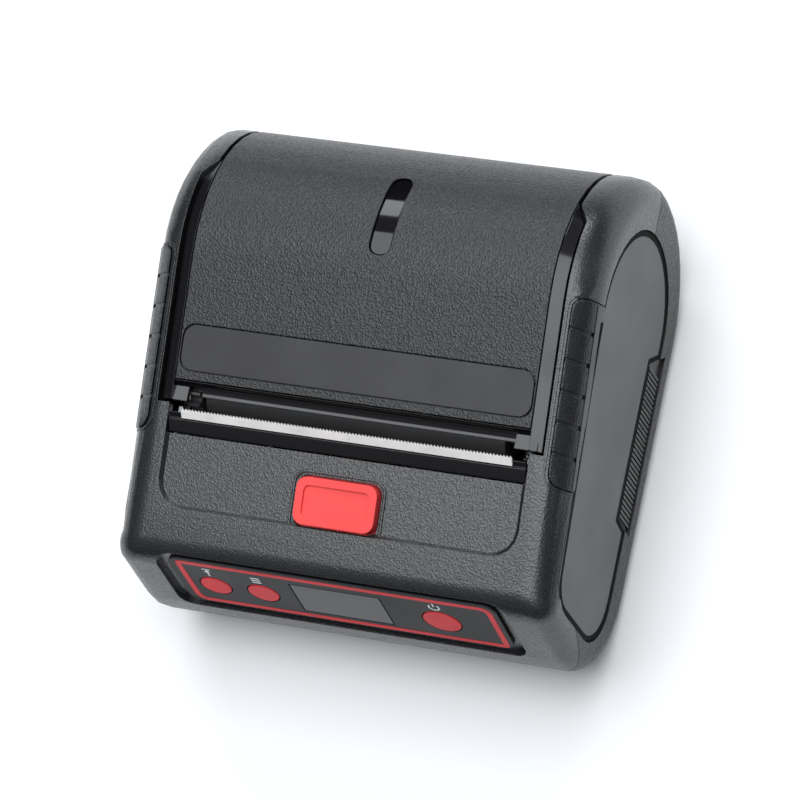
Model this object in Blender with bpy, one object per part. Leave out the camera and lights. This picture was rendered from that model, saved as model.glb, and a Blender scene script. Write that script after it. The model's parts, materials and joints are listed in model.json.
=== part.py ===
"""Portable thermal printer for 80 mm paper, built piece by piece.

Metres, +Z up, +Y to the back, +X to the right of someone who faces the key panel.
The origin is on the surface that the printer stands on, under the middle of the case.
"""
import math

import bmesh
import bpy
from mathutils import Matrix, Vector

GAP = 0.0003
OVERRUN = 0.02

# Case: a pod with a half-round back, a sloping top, a leaning key face and a round chin
CASE_WIDTH = 0.109
CASE_LENGTH = 0.1131
CASE_HEIGHT = 0.0622
TOP_SLOPE = math.radians(10.3)
FACE_TILT = math.radians(74.2)
CHIN_SHARE = 0.3376
CHIN_RADIUS = CHIN_SHARE * CASE_HEIGHT
NOSE_RADIUS = 0.0075
WALL = 0.0022
SIDE_WALL = 0.0028
TOP_ROUND = 0.0078
LOWER_ROUND = 0.0043
LEAST_ROUND = 0.0006
BACK_STEPS = 20
NOSE_STEPS = 4
CHIN_STEPS = 8
ROUND_STEPS = 4
ROUND_GROWS_TO = math.radians(40)

# Parting line between the two shells
PARTING_UNDER_MIDDLE = 0.0001
PARTING_BEND_INSET = 0.009
PARTING_UNDER_PANEL = 0.0178

# Cover opening, side strips and the notch in front of the rear corners
COVER_FROM_SIDE = 0.0074
COVER_GAP = 0.0008
COVER_NECK_FROM_SIDE = 0.0102
COVER_FRONT_FROM_FRONT = 0.04295
STRIP_DROP = 0.0012
NOTCH_FRONT_FROM_BACK = 0.01565
NOTCH_BACK_FROM_BACK = 0.01205
SKIN_THICKNESS = 0.0020
FRAME_THICKNESS = 0.0012
SKIRT_THICKNESS = 0.0014
SKIRT_DEPTH = 0.0055
STRIP_STEP = 0.0002
SKIN_FRONT_FROM_FRONT = 0.04775
COVER_END_GAP = 0.0010
LIP_BACK_FROM_FRONT = 0.05105
LIP_FRONT_FROM_FRONT = 0.04465
LIP_UNDER_OVER_PLATEN = 0.0058
LIP_EDGE = 0.0003
LIP_STEPS = 6
ARM_INNER_FROM_SIDE = 0.0098
ARM_HALF = 0.0036
BLOCK_INNER_FROM_SIDE = 0.0139
BLOCK_UNDER_OVER_PLATEN = 0.0062
BLOCK_TOP_OVER_PLATEN = 0.0076
BLOCK_BACK_FROM_FRONT = 0.04635
RAIL_WALL = 0.0015
RAIL_SKIN = 0.0050

# Hinge of the cover at the back
HINGE_RADIUS = 0.0032
HINGE_SKIN = 0.0004
PIN_RADIUS = 0.0010
KNUCKLE_INNER_FROM_SIDE = 0.0210
LUG_FROM_SIDE = 0.0235
HINGE_TROUGH_GAP = 0.0005
PIN_FROM_SIDE = 0.0109
KNUCKLE_STEM = 0.0012
KNUCKLE_BACK = 0.0008
KNUCKLE_RISE = 0.0013
SPRING_WIRE = 0.0003
SPRING_TURNS = 4
LATCH_SPRING_TURNS = 4
SPRING_POINTS = 10

# Platen, print head and the gear train
PLATEN_FROM_FRONT = 0.04635
PLATEN_DEPTH = 0.00863
ROLLER_RADIUS = 0.0050
ROLLER_FROM_SIDE = 0.0173
SHAFT_RADIUS = 0.0020
SHAFT_FROM_SIDE = 0.0081
BUSH_RADIUS = 0.0039
BUSH_INNER_FROM_SIDE = 0.0129
BUSH_OUTER_FROM_SIDE = 0.0102
GEAR_MODULE = 0.0008
GEAR_INNER_FROM_SIDE = 0.0162
GEAR_OUTER_FROM_SIDE = 0.0134
GEAR_ROOM = 0.0006
PLATEN_TEETH = 14
IDLER_TEETH = 20
PINION_TEETH = 10
MESH_CLEARANCE = 0.00015
TOOTH_TIP_SHARE = 0.24
TOOTH_ROOT_SHARE = 0.56
ADDENDUM_SHARE = 0.85
DEDENDUM_SHARE = 1.25
IDLER_PIN_RADIUS = 0.0012
MOTOR_RADIUS = 0.0085
MOTOR_INNER_FROM_SIDE = 0.0310
MOTOR_OUTER_FROM_SIDE = 0.0173
MOTOR_SHAFT_RADIUS = 0.0010
HEAD_FROM_SIDE = 0.0175
HEAD_BOTTOM_UNDER_PLATEN = 0.0036
HEAD_TOP_OVER_PLATEN = 0.0052
HEAD_THICKNESS = 0.0010
SINK_THICKNESS = 0.0026
HEAD_SPRING_RADIUS = 0.0016
HEAD_SPRING_X = 0.0200

# Tear bar and the glossy piece that holds it
TEAR_FROM_SIDE = 0.0135
TEAR_TIP_FROM_FRONT = 0.04075
TEAR_TIP_OVER_PLATEN = 0.0089
TEAR_WIDTH = 0.0024
TEAR_THICKNESS = 0.0004
TEAR_TILT = math.radians(40)
TEAR_PITCH = 0.0008
TEAR_TOOTH = 0.0006
TEAR_OVERHANG = 0.0009
HOLDER_FROM_SIDE = 0.0102
HOLDER_FRONT_FROM_FRONT = 0.03575
HOLDER_DEPTH = 0.0018
HOLDER_HEEL = 0.0038
HOLDER_HEEL_FROM_FRONT = 0.03635

# Sheet-metal frame that carries the mechanism
FRAME_PLATE_FROM_SIDE = 0.0115
FRAME_SHEET = 0.0010
FRAME_FRONT_FROM_FRONT = 0.03255
FRAME_BACK_FROM_FRONT = 0.05035
FRAME_BOTTOM_UNDER_PLATEN = 0.0238
FRAME_TOP_OVER_PLATEN = 0.0035
SHELF_HALF = 0.0050
SHELF_FRONT_FROM_FRONT = 0.02255
SHELF_UNDER_PLATEN = 0.0076
FRAME_WALL_FROM_SIDE = 0.0135
MOTOR_ROOM = 0.0025
FRAME_WALL_LOW_UNDER_PLATEN = 0.0032
BUSH_NOTCH_GAP = 0.0004
NOTCH_MOUTH = 0.0300

# Latch lever under the open button
LATCH_PIVOT_FROM_FRONT = 0.03955
LATCH_PIVOT_UNDER_PLATEN = 0.0096
LATCH_PIN_RADIUS = 0.0010
LATCH_INNER_FROM_SIDE = 0.0128
LATCH_SHEET = 0.0010
LATCH_STEP = 0.0001
LATCH_BOSS = 0.0022
LATCH_REACH = math.radians(31)
HOOK_WIDTH = 0.0014
HOOK_STEPS = 5
ARM_STRIP = 0.0012
BRIDGE_BACK_V = 0.0052
BRIDGE_BAR = 0.0030
BRIDGE_FROM_SIDE = 0.0121
BRIDGE_WIDTH = 0.0100
BRIDGE_THICKNESS = 0.0012
PADDLE_HALF = 0.0080

# Open button in the deck
DECK_FROM_SIDE = 0.0098
DECK_FRONT_FROM_FRONT = 0.01855
DECK_SINK = 0.0010
DECK_RAMP = 0.0017
DECK_CORNER = 0.0065
BUTTON_FROM_FRONT = 0.02465
BUTTON_WIDTH = 0.0200
BUTTON_DEPTH = 0.0110
BUTTON_CORNER = 0.0025
BUTTON_PROUD = 0.0007
BUTTON_RIM = 0.0019
BUTTON_HOLLOW = 0.0006
BUTTON_FLANGE = 0.0011
BUTTON_LENGTH = 0.0049
BUTTON_RIB_HALF = 0.0008
BUTTON_GAP = 0.0004
LATCH_SPRING_RADIUS = 0.0022
LATCH_SPRING_FROM_FRONT = 0.02655
LATCH_SPRING_SINK = 0.0008

# Key panel on the leaning face
PANEL_MID_UNDER_PLATEN = 0.0103
PANEL_RECESS = 0.0007
PANEL_FROM_SIDE = 0.0110
PANEL_HEIGHT = 0.0228
PANEL_CORNER = 0.0040
OVERLAY_THICKNESS = 0.0005
OVERLAY_FROM_SIDE = 0.0136
OVERLAY_ABOVE = 0.0111
OVERLAY_BELOW = 0.0098
OVERLAY_CORNER = 0.0030
KEY_V = -0.0006
KEY_TRAVEL = 0.0004
KEY_PROUD = 0.0001
KEY_GAP = 0.0003
KEY_STEM_RADIUS = 0.0020
FEED_KEY_SHARE = -0.3632
MODE_KEY_SHARE = -0.2241
POWER_KEY_SHARE = 0.2885
SMALL_KEY_RADIUS = 0.0038
POWER_KEY_RADIUS = 0.0046
DISPLAY_X = 0.0003
DISPLAY_WIDTH = 0.0222
DISPLAY_HEIGHT = 0.0130
DISPLAY_MARGIN = 0.0015
DISPLAY_DEPTH = 0.0020
KEY_BOARD_DEPTH = 0.0048
KEY_BOARD_THICKNESS = 0.0012
KEY_BOARD_MARGIN = 0.0035
KEY_BOARD_HEIGHT = 0.0180
SWITCH_SIZE = 0.0052
SWITCH_HEIGHT = 0.0009

# Side plates, ribbed strips and rail grips
PLATE_DEPTH = 0.0010
PLATE_SINK = 0.0003
PLATE_BACK_FROM_BACK = 0.01215
PLATE_MARGIN = 0.0095
PLATE_BOTTOM = 0.0104
PLATE_SLOPE = math.radians(7.4)
PLATE_FACE_TILT = math.radians(80)
PLATE_FRONT_FROM_FRONT = 0.00735
PLATE_CHIN_RADIUS = 0.0110
PLATE_NOSE_RADIUS = 0.0090
RIB_TOP_Z = 0.0158
RIB_BOTTOM_Z = 0.0074
RIB_TOP_FRONT_Y = -0.0190
RIB_TOP_BACK_Y = 0.0172
RIB_BOTTOM_FRONT_Y = -0.0216
RIB_BOTTOM_BACK_Y = 0.0211
RIB_COUNT = 32
RIB_HEIGHT = 0.0005
RIB_BASE = 0.0007
RIB_LEAN = 0.0012
GRIP_FRONT_Y = -0.0205
GRIP_BACK_Y = 0.0212
GRIP_INNER_FROM_SIDE = 0.0048
GRIP_CORNER = 0.0026
GRIP_PROUD = 0.0004
GRIP_DEPTH = 0.0010
GRIP_SEGMENTS = 6
GRIP_GROOVE = 0.0009
GRIP_LOWER_GAP = 0.0005

# Slot window and label plate on the cover
WINDOW_X = 0.0013
WINDOW_FRONT_FROM_BACK = 0.03185
WINDOW_BACK_FROM_BACK = 0.01175
WINDOW_HALF = 0.0027
WINDOW_SINK = 0.0005
LABEL_FROM_SIDE = 0.0111
LABEL_FRONT_FROM_FRONT = 0.04985
LABEL_BACK_FROM_FRONT = 0.06025
LABEL_CORNER = 0.0030
LABEL_THICKNESS = 0.0005

# Paper tub and its guides
TUB_BEHIND_FRAME = 0.0025
TUB_FROM_BACK = 0.00885
TUB_BOTTOM_Z = 0.0058
TUB_UNDER_TOP = 0.0050
TUB_WALL = 0.0012
TUB_FROM_SIDE = 0.0110
TUB_LIP_UNDER_PLATEN = 0.0056
GUIDE_INNER_FROM_SIDE = 0.0145
GUIDE_THICKNESS = 0.0016
GUIDE_MARGIN = 0.0013
GUIDE_TOP_UNDER_PLATEN = 0.0046
GUIDE_TRAVEL = 0.0180
GUIDE_AXIS_FORWARD = 0.0040
GUIDE_TEETH = 10
RACK_Z = 0.0043
RACK_THICKNESS = 0.0012
RACK_WIDTH = 0.0020
RACK_TEETH = 10
PINION_POST_RADIUS = 0.0014

# Battery, boards and sockets
BATTERY_FROM_SIDE = 0.0185
BATTERY_FRONT_FROM_FRONT = 0.01255
BATTERY_BACK_FROM_FRONT = 0.04955
BATTERY_UNDER_FRAME = 0.0044
BATTERY_CORNER = 0.0020
BATTERY_SINK = 0.0002
BATTERY_OPENING_Z = 0.0080
BATTERY_LATCH_WIDTH = 0.0140
BATTERY_LATCH_DEPTH = 0.0060
BATTERY_LATCH_TRAVEL = 0.0025
BATTERY_LATCH_GAP = 0.0012
BATTERY_LATCH_FLANGE = 0.0014
BATTERY_TONGUE_HALF = 0.0040
BATTERY_TONGUE_REACH = 0.0015
MAIN_BOARD_UNDER_FRAME = 0.0029
MAIN_BOARD_THICKNESS = 0.0014
MAIN_BOARD_FROM_SIDE = 0.0125
MAIN_BOARD_FRONT_FROM_FRONT = 0.01355
MAIN_BOARD_BACK_FROM_FRONT = 0.04955
LEDGE_FRONT_FROM_FRONT = 0.02655
LEDGE_BACK_FROM_FRONT = 0.04455
LEDGE_INNER_FROM_SIDE = 0.0150
LEDGE_HEIGHT = 0.0016
SOCKET_FROM_FRONT = 0.02255
SOCKET_UNDER_PARTING = 0.0040
USB_WIDTH = 0.0090
USB_HEIGHT = 0.0034
USB_DEPTH = 0.0072
JACK_RADIUS = 0.0030
JACK_DEPTH = 0.0090
JACK_SPACING = 0.0110
FLAP_WIDTH = 0.0230
FLAP_HEIGHT = 0.0092
FLAP_CORNER = 0.0015
SCREW_RADIUS = 0.0013
SCREW_HEAD_RADIUS = 0.0024
SCREW_HEAD_HEIGHT = 0.0014
SCREW_LENGTH = 0.0050
SCREW_FROM_SIDE = 0.0088
SCREW_FRONT_FROM_FRONT = 0.02655
SCREW_BACK_FROM_BACK = 0.02655
SCREW_SINK = 0.0004
SCREW_BOSS_RADIUS = 0.0030
SCREW_BOSS_HEIGHT = 0.0034
ROUND_SEGMENTS = 20
SMALL_SEGMENTS = 12

BLACK_COARSE = (0.020, 0.021, 0.022, 1.0)
BLACK_SATIN = (0.016, 0.017, 0.018, 1.0)
BLACK_GLOSS = (0.010, 0.010, 0.011, 1.0)
GREY_SATIN = (0.075, 0.080, 0.084, 1.0)
RUBBER_BLACK = (0.018, 0.018, 0.019, 1.0)
BUTTON_RED = (0.82, 0.095, 0.085, 1.0)
KEY_RED = (0.45, 0.060, 0.070, 1.0)
STEEL = (0.62, 0.61, 0.60, 1.0)
ZINC = (0.45, 0.46, 0.47, 1.0)
WHITE_PLASTIC = (0.70, 0.69, 0.66, 1.0)
BOARD_GREEN = (0.020, 0.110, 0.045, 1.0)
CERAMIC = (0.55, 0.50, 0.42, 1.0)
GLASS_GREY = (0.090, 0.100, 0.110, 1.0)
LABEL_GREY = (0.055, 0.053, 0.056, 1.0)
BATTERY_GREY = (0.030, 0.031, 0.033, 1.0)


def clear_scene():
    """Remove every object, mesh and material that the file starts with."""
    for item in list(bpy.data.objects):
        bpy.data.objects.remove(item, do_unlink=True)
    for mesh in list(bpy.data.meshes):
        bpy.data.meshes.remove(mesh)
    for old in list(bpy.data.materials):
        bpy.data.materials.remove(old)


def finish(item, name, colour, roughness, metallic=0.0, smooth=True):
    """Name an object and give it a material of its own."""
    item.name = name
    item.data.name = name
    skin = bpy.data.materials.new(name + "_material")
    skin.use_nodes = True
    shader = skin.node_tree.nodes["Principled BSDF"]
    shader.inputs["Base Color"].default_value = colour
    shader.inputs["Roughness"].default_value = roughness
    shader.inputs["Metallic"].default_value = metallic
    item.data.materials.clear()
    item.data.materials.append(skin)
    if smooth:
        item.data.shade_smooth()
        item.data.set_sharp_from_angle(angle=math.radians(35))
    return item


def object_from(bm, name="shape"):
    """Turn a bmesh into an object in the scene."""
    bmesh.ops.recalc_face_normals(bm, faces=bm.faces)
    mesh = bpy.data.meshes.new(name)
    bm.to_mesh(mesh)
    bm.free()
    item = bpy.data.objects.new(name, mesh)
    bpy.context.scene.collection.objects.link(item)
    return item


AXIS_MAPS = {
    "X": lambda a, b, h: (h, a, b),
    "Y": lambda a, b, h: (a, h, b),
    "Z": lambda a, b, h: (a, b, h),
}


def prism(outline, low, high, axis="X", matrix=None):
    """Extrude an outline along an axis. Along X the outline is (y, z), along Y (x, z), along Z (x, y)."""
    place = AXIS_MAPS[axis]
    bm = bmesh.new()
    base = bm.faces.new([bm.verts.new(place(a, b, low)) for a, b in outline])
    lifted = bmesh.ops.extrude_face_region(bm, geom=[base])
    moved = [v for v in lifted["geom"] if isinstance(v, bmesh.types.BMVert)]
    bmesh.ops.translate(bm, verts=moved, vec=Vector(place(0, 0, high - low)))
    if matrix is not None:
        bmesh.ops.transform(bm, matrix=matrix, verts=bm.verts)
    return object_from(bm)


def rectangle(low_a, high_a, low_b, high_b):
    """Corner points of a rectangle."""
    return [(low_a, low_b), (high_a, low_b), (high_a, high_b), (low_a, high_b)]


def rounded(low_a, high_a, low_b, high_b, radius, steps=4):
    """Points of a rectangle with round corners."""
    centres = [(high_a - radius, high_b - radius, 0), (low_a + radius, high_b - radius, 1),
               (low_a + radius, low_b + radius, 2), (high_a - radius, low_b + radius, 3)]
    points = []
    for a, b, quarter in centres:
        for step in range(steps + 1):
            angle = (quarter + step / steps) * math.pi / 2
            points.append((a + radius * math.cos(angle), b + radius * math.sin(angle)))
    return points


def circle(a, b, radius, segments=ROUND_SEGMENTS):
    """Points of a circle."""
    turns = [2 * math.pi * k / segments for k in range(segments)]
    return [(a + radius * math.cos(t), b + radius * math.sin(t)) for t in turns]


def joined(items):
    """Put separate solids that don't touch into one object, to cut or fuse them in one go."""
    bm = bmesh.new()
    for item in items:
        bm.from_mesh(item.data)
        bpy.data.objects.remove(item, do_unlink=True)
    return object_from(bm)


def box(low, high):
    """Box between two corners."""
    return prism(rectangle(low[0], high[0], low[1], high[1]), low[2], high[2], "Z")


def boolean(item, tool, operation):
    """Apply one Boolean to an object and remove the tool."""
    change = item.modifiers.new("change", "BOOLEAN")
    change.operation = operation
    change.solver = "EXACT"
    change.object = tool
    graph = bpy.context.evaluated_depsgraph_get()
    graph.update()
    mesh = bpy.data.meshes.new_from_object(item.evaluated_get(graph))
    item.modifiers.clear()
    old = item.data
    item.data = mesh
    bpy.data.meshes.remove(old)
    bpy.data.objects.remove(tool, do_unlink=True)
    return item


def cut(item, *tools):
    """Take each tool away from an object."""
    for tool in tools:
        boolean(item, tool, "DIFFERENCE")
    return item


def fuse(item, *tools):
    """Join each tool to an object as one body."""
    for tool in tools:
        boolean(item, tool, "UNION")
    return item


def keep(item, tool):
    """Keep only what an object shares with the tool."""
    return boolean(item, tool, "INTERSECT")


def set_origin(item, point):
    """Move an object's origin to a point and leave its shape where it is."""
    offset = Vector(point)
    item.data.transform(Matrix.Translation(-offset))
    item.location = offset
    return item


def tilted_frame(x, y, z, tilt):
    """Frame on a sloping face: local X stays, local Y runs up the face, local Z points out of it."""
    return Matrix.Translation((x, y, z)) @ Matrix.Rotation(tilt, 4, "X")


def blend(value, low, high):
    """Share of the way from low to high, kept between 0 and 1."""
    return min(1.0, max(0.0, (value - low) / (high - low)))


class Pod:
    """Side view of the case or of a side plate: back arc, sloping top, nose arc, leaning face, chin arc."""

    def __init__(self, back_y, back_radius, bottom_z, slope, tilt, nose_radius, chin_radius, front_y):
        self.slope, self.tilt = slope, tilt
        self.back_radius, self.nose_radius, self.chin_radius = back_radius, nose_radius, chin_radius
        self.back_centre = (back_y - back_radius, bottom_z + back_radius)
        self.chin_centre = (front_y + chin_radius, bottom_z + chin_radius)
        self.top_normal = (-math.sin(slope), math.cos(slope))
        self.face_normal = (-math.sin(tilt), math.cos(tilt))

    def line_offset(self, normal, centre, radius):
        """Distance of a straight side from the origin, along its normal."""
        return normal[0] * centre[0] + normal[1] * centre[1] + radius

    def nose_centre(self, inset, radius):
        """Centre of the nose arc, which touches the top line and the face line."""
        a, b = self.top_normal, self.face_normal
        top = self.line_offset(a, self.back_centre, self.back_radius) - inset - radius
        face = self.line_offset(b, self.chin_centre, self.chin_radius) - inset - radius
        det = a[0] * b[1] - a[1] * b[0]
        return ((top * b[1] - face * a[1]) / det, (a[0] * face - b[0] * top) / det)

    def spots(self, inset=0.0):
        """List of (y, z, angle), where angle is the way the side faces there."""
        nose = max(self.nose_radius - inset, LEAST_ROUND)
        arcs = [(self.back_centre, self.back_radius - inset, -math.pi / 2,
                 math.pi / 2 + self.slope, BACK_STEPS),
                (self.nose_centre(inset, nose), nose, math.pi / 2 + self.slope,
                 math.pi / 2 + self.tilt, NOSE_STEPS),
                (self.chin_centre, self.chin_radius - inset, math.pi / 2 + self.tilt,
                 3 * math.pi / 2, CHIN_STEPS)]
        found = []
        for centre, radius, start, end, steps in arcs:
            for step in range(steps + 1):
                angle = start + (end - start) * step / steps
                found.append((centre[0] + radius * math.cos(angle),
                              centre[1] + radius * math.sin(angle), angle))
        return found

    def outline(self, inset=0.0):
        """Closed (y, z) outline, moved inwards by inset."""
        return [(y, z) for y, z, angle in self.spots(inset)]

    def top_height(self, y, inset=0.0):
        """Height of the top of the outline at y."""
        back = self.back_centre
        radius = self.back_radius - inset
        turn_y = back[0] - radius * math.sin(self.slope)
        if y > turn_y:
            return back[1] + math.sqrt(radius ** 2 - (y - back[0]) ** 2)
        return back[1] + radius * math.cos(self.slope) - (turn_y - y) * math.tan(self.slope)

    def face_point(self, z, inset=0.0):
        """Y of the leaning face at height z."""
        radius = self.chin_radius - inset
        touch_y = self.chin_centre[0] + radius * self.face_normal[0]
        touch_z = self.chin_centre[1] + radius * self.face_normal[1]
        return touch_y + (z - touch_z) / math.tan(self.tilt)


CASE = Pod(CASE_LENGTH / 2, CASE_HEIGHT / 2, 0.0, TOP_SLOPE, FACE_TILT,
           NOSE_RADIUS, CHIN_RADIUS, -CASE_LENGTH / 2)
HALF = CASE_WIDTH / 2
FAR = CASE_LENGTH
BACK_Y = CASE_LENGTH / 2

# Places that follow the case's sides, front, back and top
PLATEN_Y = PLATEN_FROM_FRONT - BACK_Y
PLATEN_Z = CASE.top_height(PLATEN_Y) - PLATEN_DEPTH
COVER_HALF = HALF - COVER_FROM_SIDE
COVER_NECK_HALF = HALF - COVER_NECK_FROM_SIDE
ARM_INNER_X = HALF - ARM_INNER_FROM_SIDE
BLOCK_INNER_X = HALF - BLOCK_INNER_FROM_SIDE
KNUCKLE_INNER_X = HALF - KNUCKLE_INNER_FROM_SIDE
LUG_HALF = HALF - LUG_FROM_SIDE
PIN_HALF = HALF - PIN_FROM_SIDE
ROLLER_HALF = HALF - ROLLER_FROM_SIDE
SHAFT_HALF = HALF - SHAFT_FROM_SIDE
BUSH_INNER_X = HALF - BUSH_INNER_FROM_SIDE
BUSH_OUTER_X = HALF - BUSH_OUTER_FROM_SIDE
GEAR_INNER_X = HALF - GEAR_INNER_FROM_SIDE
GEAR_OUTER_X = HALF - GEAR_OUTER_FROM_SIDE
MOTOR_INNER_X = HALF - MOTOR_INNER_FROM_SIDE
MOTOR_OUTER_X = HALF - MOTOR_OUTER_FROM_SIDE
HEAD_HALF = HALF - HEAD_FROM_SIDE
TEAR_HALF = HALF - TEAR_FROM_SIDE
HOLDER_HALF = HALF - HOLDER_FROM_SIDE
FRAME_PLATE_X = HALF - FRAME_PLATE_FROM_SIDE
FRAME_WALL_HALF = HALF - FRAME_WALL_FROM_SIDE
LATCH_INNER_X = HALF - LATCH_INNER_FROM_SIDE
BRIDGE_HALF = HALF - BRIDGE_FROM_SIDE
DECK_HALF = HALF - DECK_FROM_SIDE
GRIP_INNER_X = HALF - GRIP_INNER_FROM_SIDE
LABEL_HALF = HALF - LABEL_FROM_SIDE
TUB_HALF = HALF - TUB_FROM_SIDE
GUIDE_INNER_X = HALF - GUIDE_INNER_FROM_SIDE
BATTERY_HALF = HALF - BATTERY_FROM_SIDE
MAIN_BOARD_HALF = HALF - MAIN_BOARD_FROM_SIDE
LEDGE_INNER_X = HALF - LEDGE_INNER_FROM_SIDE
SCREW_X = HALF - SCREW_FROM_SIDE
COVER_FRONT_Y = COVER_FRONT_FROM_FRONT - BACK_Y
SKIN_FRONT_Y = SKIN_FRONT_FROM_FRONT - BACK_Y
LIP_BACK_Y = LIP_BACK_FROM_FRONT - BACK_Y
LIP_FRONT_Y = LIP_FRONT_FROM_FRONT - BACK_Y
BLOCK_BACK_Y = BLOCK_BACK_FROM_FRONT - BACK_Y
TEAR_TIP_Y = TEAR_TIP_FROM_FRONT - BACK_Y
HOLDER_FRONT_Y = HOLDER_FRONT_FROM_FRONT - BACK_Y
HOLDER_HEEL_Y = HOLDER_HEEL_FROM_FRONT - BACK_Y
FRAME_FRONT_Y = FRAME_FRONT_FROM_FRONT - BACK_Y
FRAME_BACK_Y = FRAME_BACK_FROM_FRONT - BACK_Y
SHELF_FRONT_Y = SHELF_FRONT_FROM_FRONT - BACK_Y
LATCH_PIVOT_Y = LATCH_PIVOT_FROM_FRONT - BACK_Y
DECK_FRONT_Y = DECK_FRONT_FROM_FRONT - BACK_Y
BUTTON_Y = BUTTON_FROM_FRONT - BACK_Y
LATCH_SPRING_Y = LATCH_SPRING_FROM_FRONT - BACK_Y
PLATE_FRONT_Y = PLATE_FRONT_FROM_FRONT - BACK_Y
LABEL_FRONT_Y = LABEL_FRONT_FROM_FRONT - BACK_Y
LABEL_BACK_Y = LABEL_BACK_FROM_FRONT - BACK_Y
BATTERY_FRONT_Y = BATTERY_FRONT_FROM_FRONT - BACK_Y
BATTERY_BACK_Y = BATTERY_BACK_FROM_FRONT - BACK_Y
MAIN_BOARD_FRONT_Y = MAIN_BOARD_FRONT_FROM_FRONT - BACK_Y
MAIN_BOARD_BACK_Y = MAIN_BOARD_BACK_FROM_FRONT - BACK_Y
LEDGE_FRONT_Y = LEDGE_FRONT_FROM_FRONT - BACK_Y
LEDGE_BACK_Y = LEDGE_BACK_FROM_FRONT - BACK_Y
SOCKET_Y = SOCKET_FROM_FRONT - BACK_Y
SCREW_FRONT_Y = SCREW_FRONT_FROM_FRONT - BACK_Y
NOTCH_FRONT_Y = BACK_Y - NOTCH_FRONT_FROM_BACK
NOTCH_BACK_Y = BACK_Y - NOTCH_BACK_FROM_BACK
PLATE_BACK_Y = BACK_Y - PLATE_BACK_FROM_BACK
WINDOW_FRONT_Y = BACK_Y - WINDOW_FRONT_FROM_BACK
WINDOW_BACK_Y = BACK_Y - WINDOW_BACK_FROM_BACK
SCREW_BACK_Y = BACK_Y - SCREW_BACK_FROM_BACK
HEAD_BOTTOM = PLATEN_Z - HEAD_BOTTOM_UNDER_PLATEN
HEAD_TOP = PLATEN_Z + HEAD_TOP_OVER_PLATEN
LIP_UNDER_Z = PLATEN_Z + LIP_UNDER_OVER_PLATEN
BLOCK_UNDER_Z = PLATEN_Z + BLOCK_UNDER_OVER_PLATEN
BLOCK_TOP_Z = PLATEN_Z + BLOCK_TOP_OVER_PLATEN
TEAR_TIP_Z = PLATEN_Z + TEAR_TIP_OVER_PLATEN
FRAME_BOTTOM_Z = PLATEN_Z - FRAME_BOTTOM_UNDER_PLATEN
FRAME_TOP_Z = PLATEN_Z + FRAME_TOP_OVER_PLATEN
FRAME_WALL_LOW_Z = PLATEN_Z - FRAME_WALL_LOW_UNDER_PLATEN
SHELF_Z = PLATEN_Z - SHELF_UNDER_PLATEN
LATCH_PIVOT_Z = PLATEN_Z - LATCH_PIVOT_UNDER_PLATEN
TUB_LIP_Z = PLATEN_Z - TUB_LIP_UNDER_PLATEN
GUIDE_TOP_Z = PLATEN_Z - GUIDE_TOP_UNDER_PLATEN
PANEL_MID_Z = PLATEN_Z - PANEL_MID_UNDER_PLATEN
PARTING_HEIGHT = CASE_HEIGHT / 2 - PARTING_UNDER_MIDDLE
HINGE_Y = BACK_Y - HINGE_RADIUS - HINGE_SKIN
HINGE_Z = PARTING_HEIGHT
COVER_END_Z = HINGE_Z + HINGE_RADIUS + COVER_END_GAP
KNUCKLE_TOP_Z = COVER_END_Z + KNUCKLE_RISE
PARTING_FRONT_Z = PANEL_MID_Z - PARTING_UNDER_PANEL
OVERLAY_HALF = HALF - OVERLAY_FROM_SIDE
PANEL_WIDTH = CASE_WIDTH - 2 * PANEL_FROM_SIDE
KEY_BOARD_WIDTH = PANEL_WIDTH - 2 * KEY_BOARD_MARGIN
FEED_KEY_X = FEED_KEY_SHARE * PANEL_WIDTH
MODE_KEY_X = MODE_KEY_SHARE * PANEL_WIDTH
POWER_KEY_X = POWER_KEY_SHARE * PANEL_WIDTH
FRAME_WALL_FOOT_X = MOTOR_ROOM - MOTOR_INNER_X
BATTERY_TOP_Z = FRAME_BOTTOM_Z - BATTERY_UNDER_FRAME
MAIN_BOARD_Z = FRAME_BOTTOM_Z - MAIN_BOARD_UNDER_FRAME
SOCKET_Z = PARTING_HEIGHT - SOCKET_UNDER_PARTING
LATCH_SLOT_FRONT_Y = BATTERY_BACK_Y + BATTERY_LATCH_GAP
LATCH_KEY_BACK_Y = LATCH_SLOT_FRONT_Y + GAP + BATTERY_LATCH_DEPTH
GUIDE_PITCH_RADIUS = GEAR_MODULE * GUIDE_TEETH / 2
RACK_INNER = GUIDE_PITCH_RADIUS + DEDENDUM_SHARE * GEAR_MODULE
TUB_ROOM_ALONG = BACK_Y - TUB_FROM_BACK - FRAME_BACK_Y - TUB_BEHIND_FRAME
TUB_ROOM_UP = CASE_HEIGHT - TUB_BOTTOM_Z - TUB_UNDER_TOP
TUB_OUTER = min(TUB_ROOM_ALONG, TUB_ROOM_UP) / 2
TUB_RADIUS = TUB_OUTER - TUB_WALL
TUB_Y = BACK_Y - TUB_FROM_BACK - TUB_OUTER
TUB_Z = TUB_BOTTOM_Z + TUB_OUTER
GUIDE_AXIS_Y = TUB_Y - GUIDE_AXIS_FORWARD
GUIDE_RADIUS = TUB_RADIUS - GUIDE_MARGIN
OPENING_HALF = COVER_HALF + COVER_GAP
NECK_OPENING_HALF = COVER_NECK_HALF + COVER_GAP
PLATEN = (PLATEN_Y, PLATEN_Z)
PLATE = Pod(PLATE_BACK_Y, CASE_HEIGHT / 2 - PLATE_MARGIN, PLATE_BOTTOM, PLATE_SLOPE, PLATE_FACE_TILT,
            PLATE_NOSE_RADIUS, PLATE_CHIN_RADIUS, PLATE_FRONT_Y)


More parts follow.
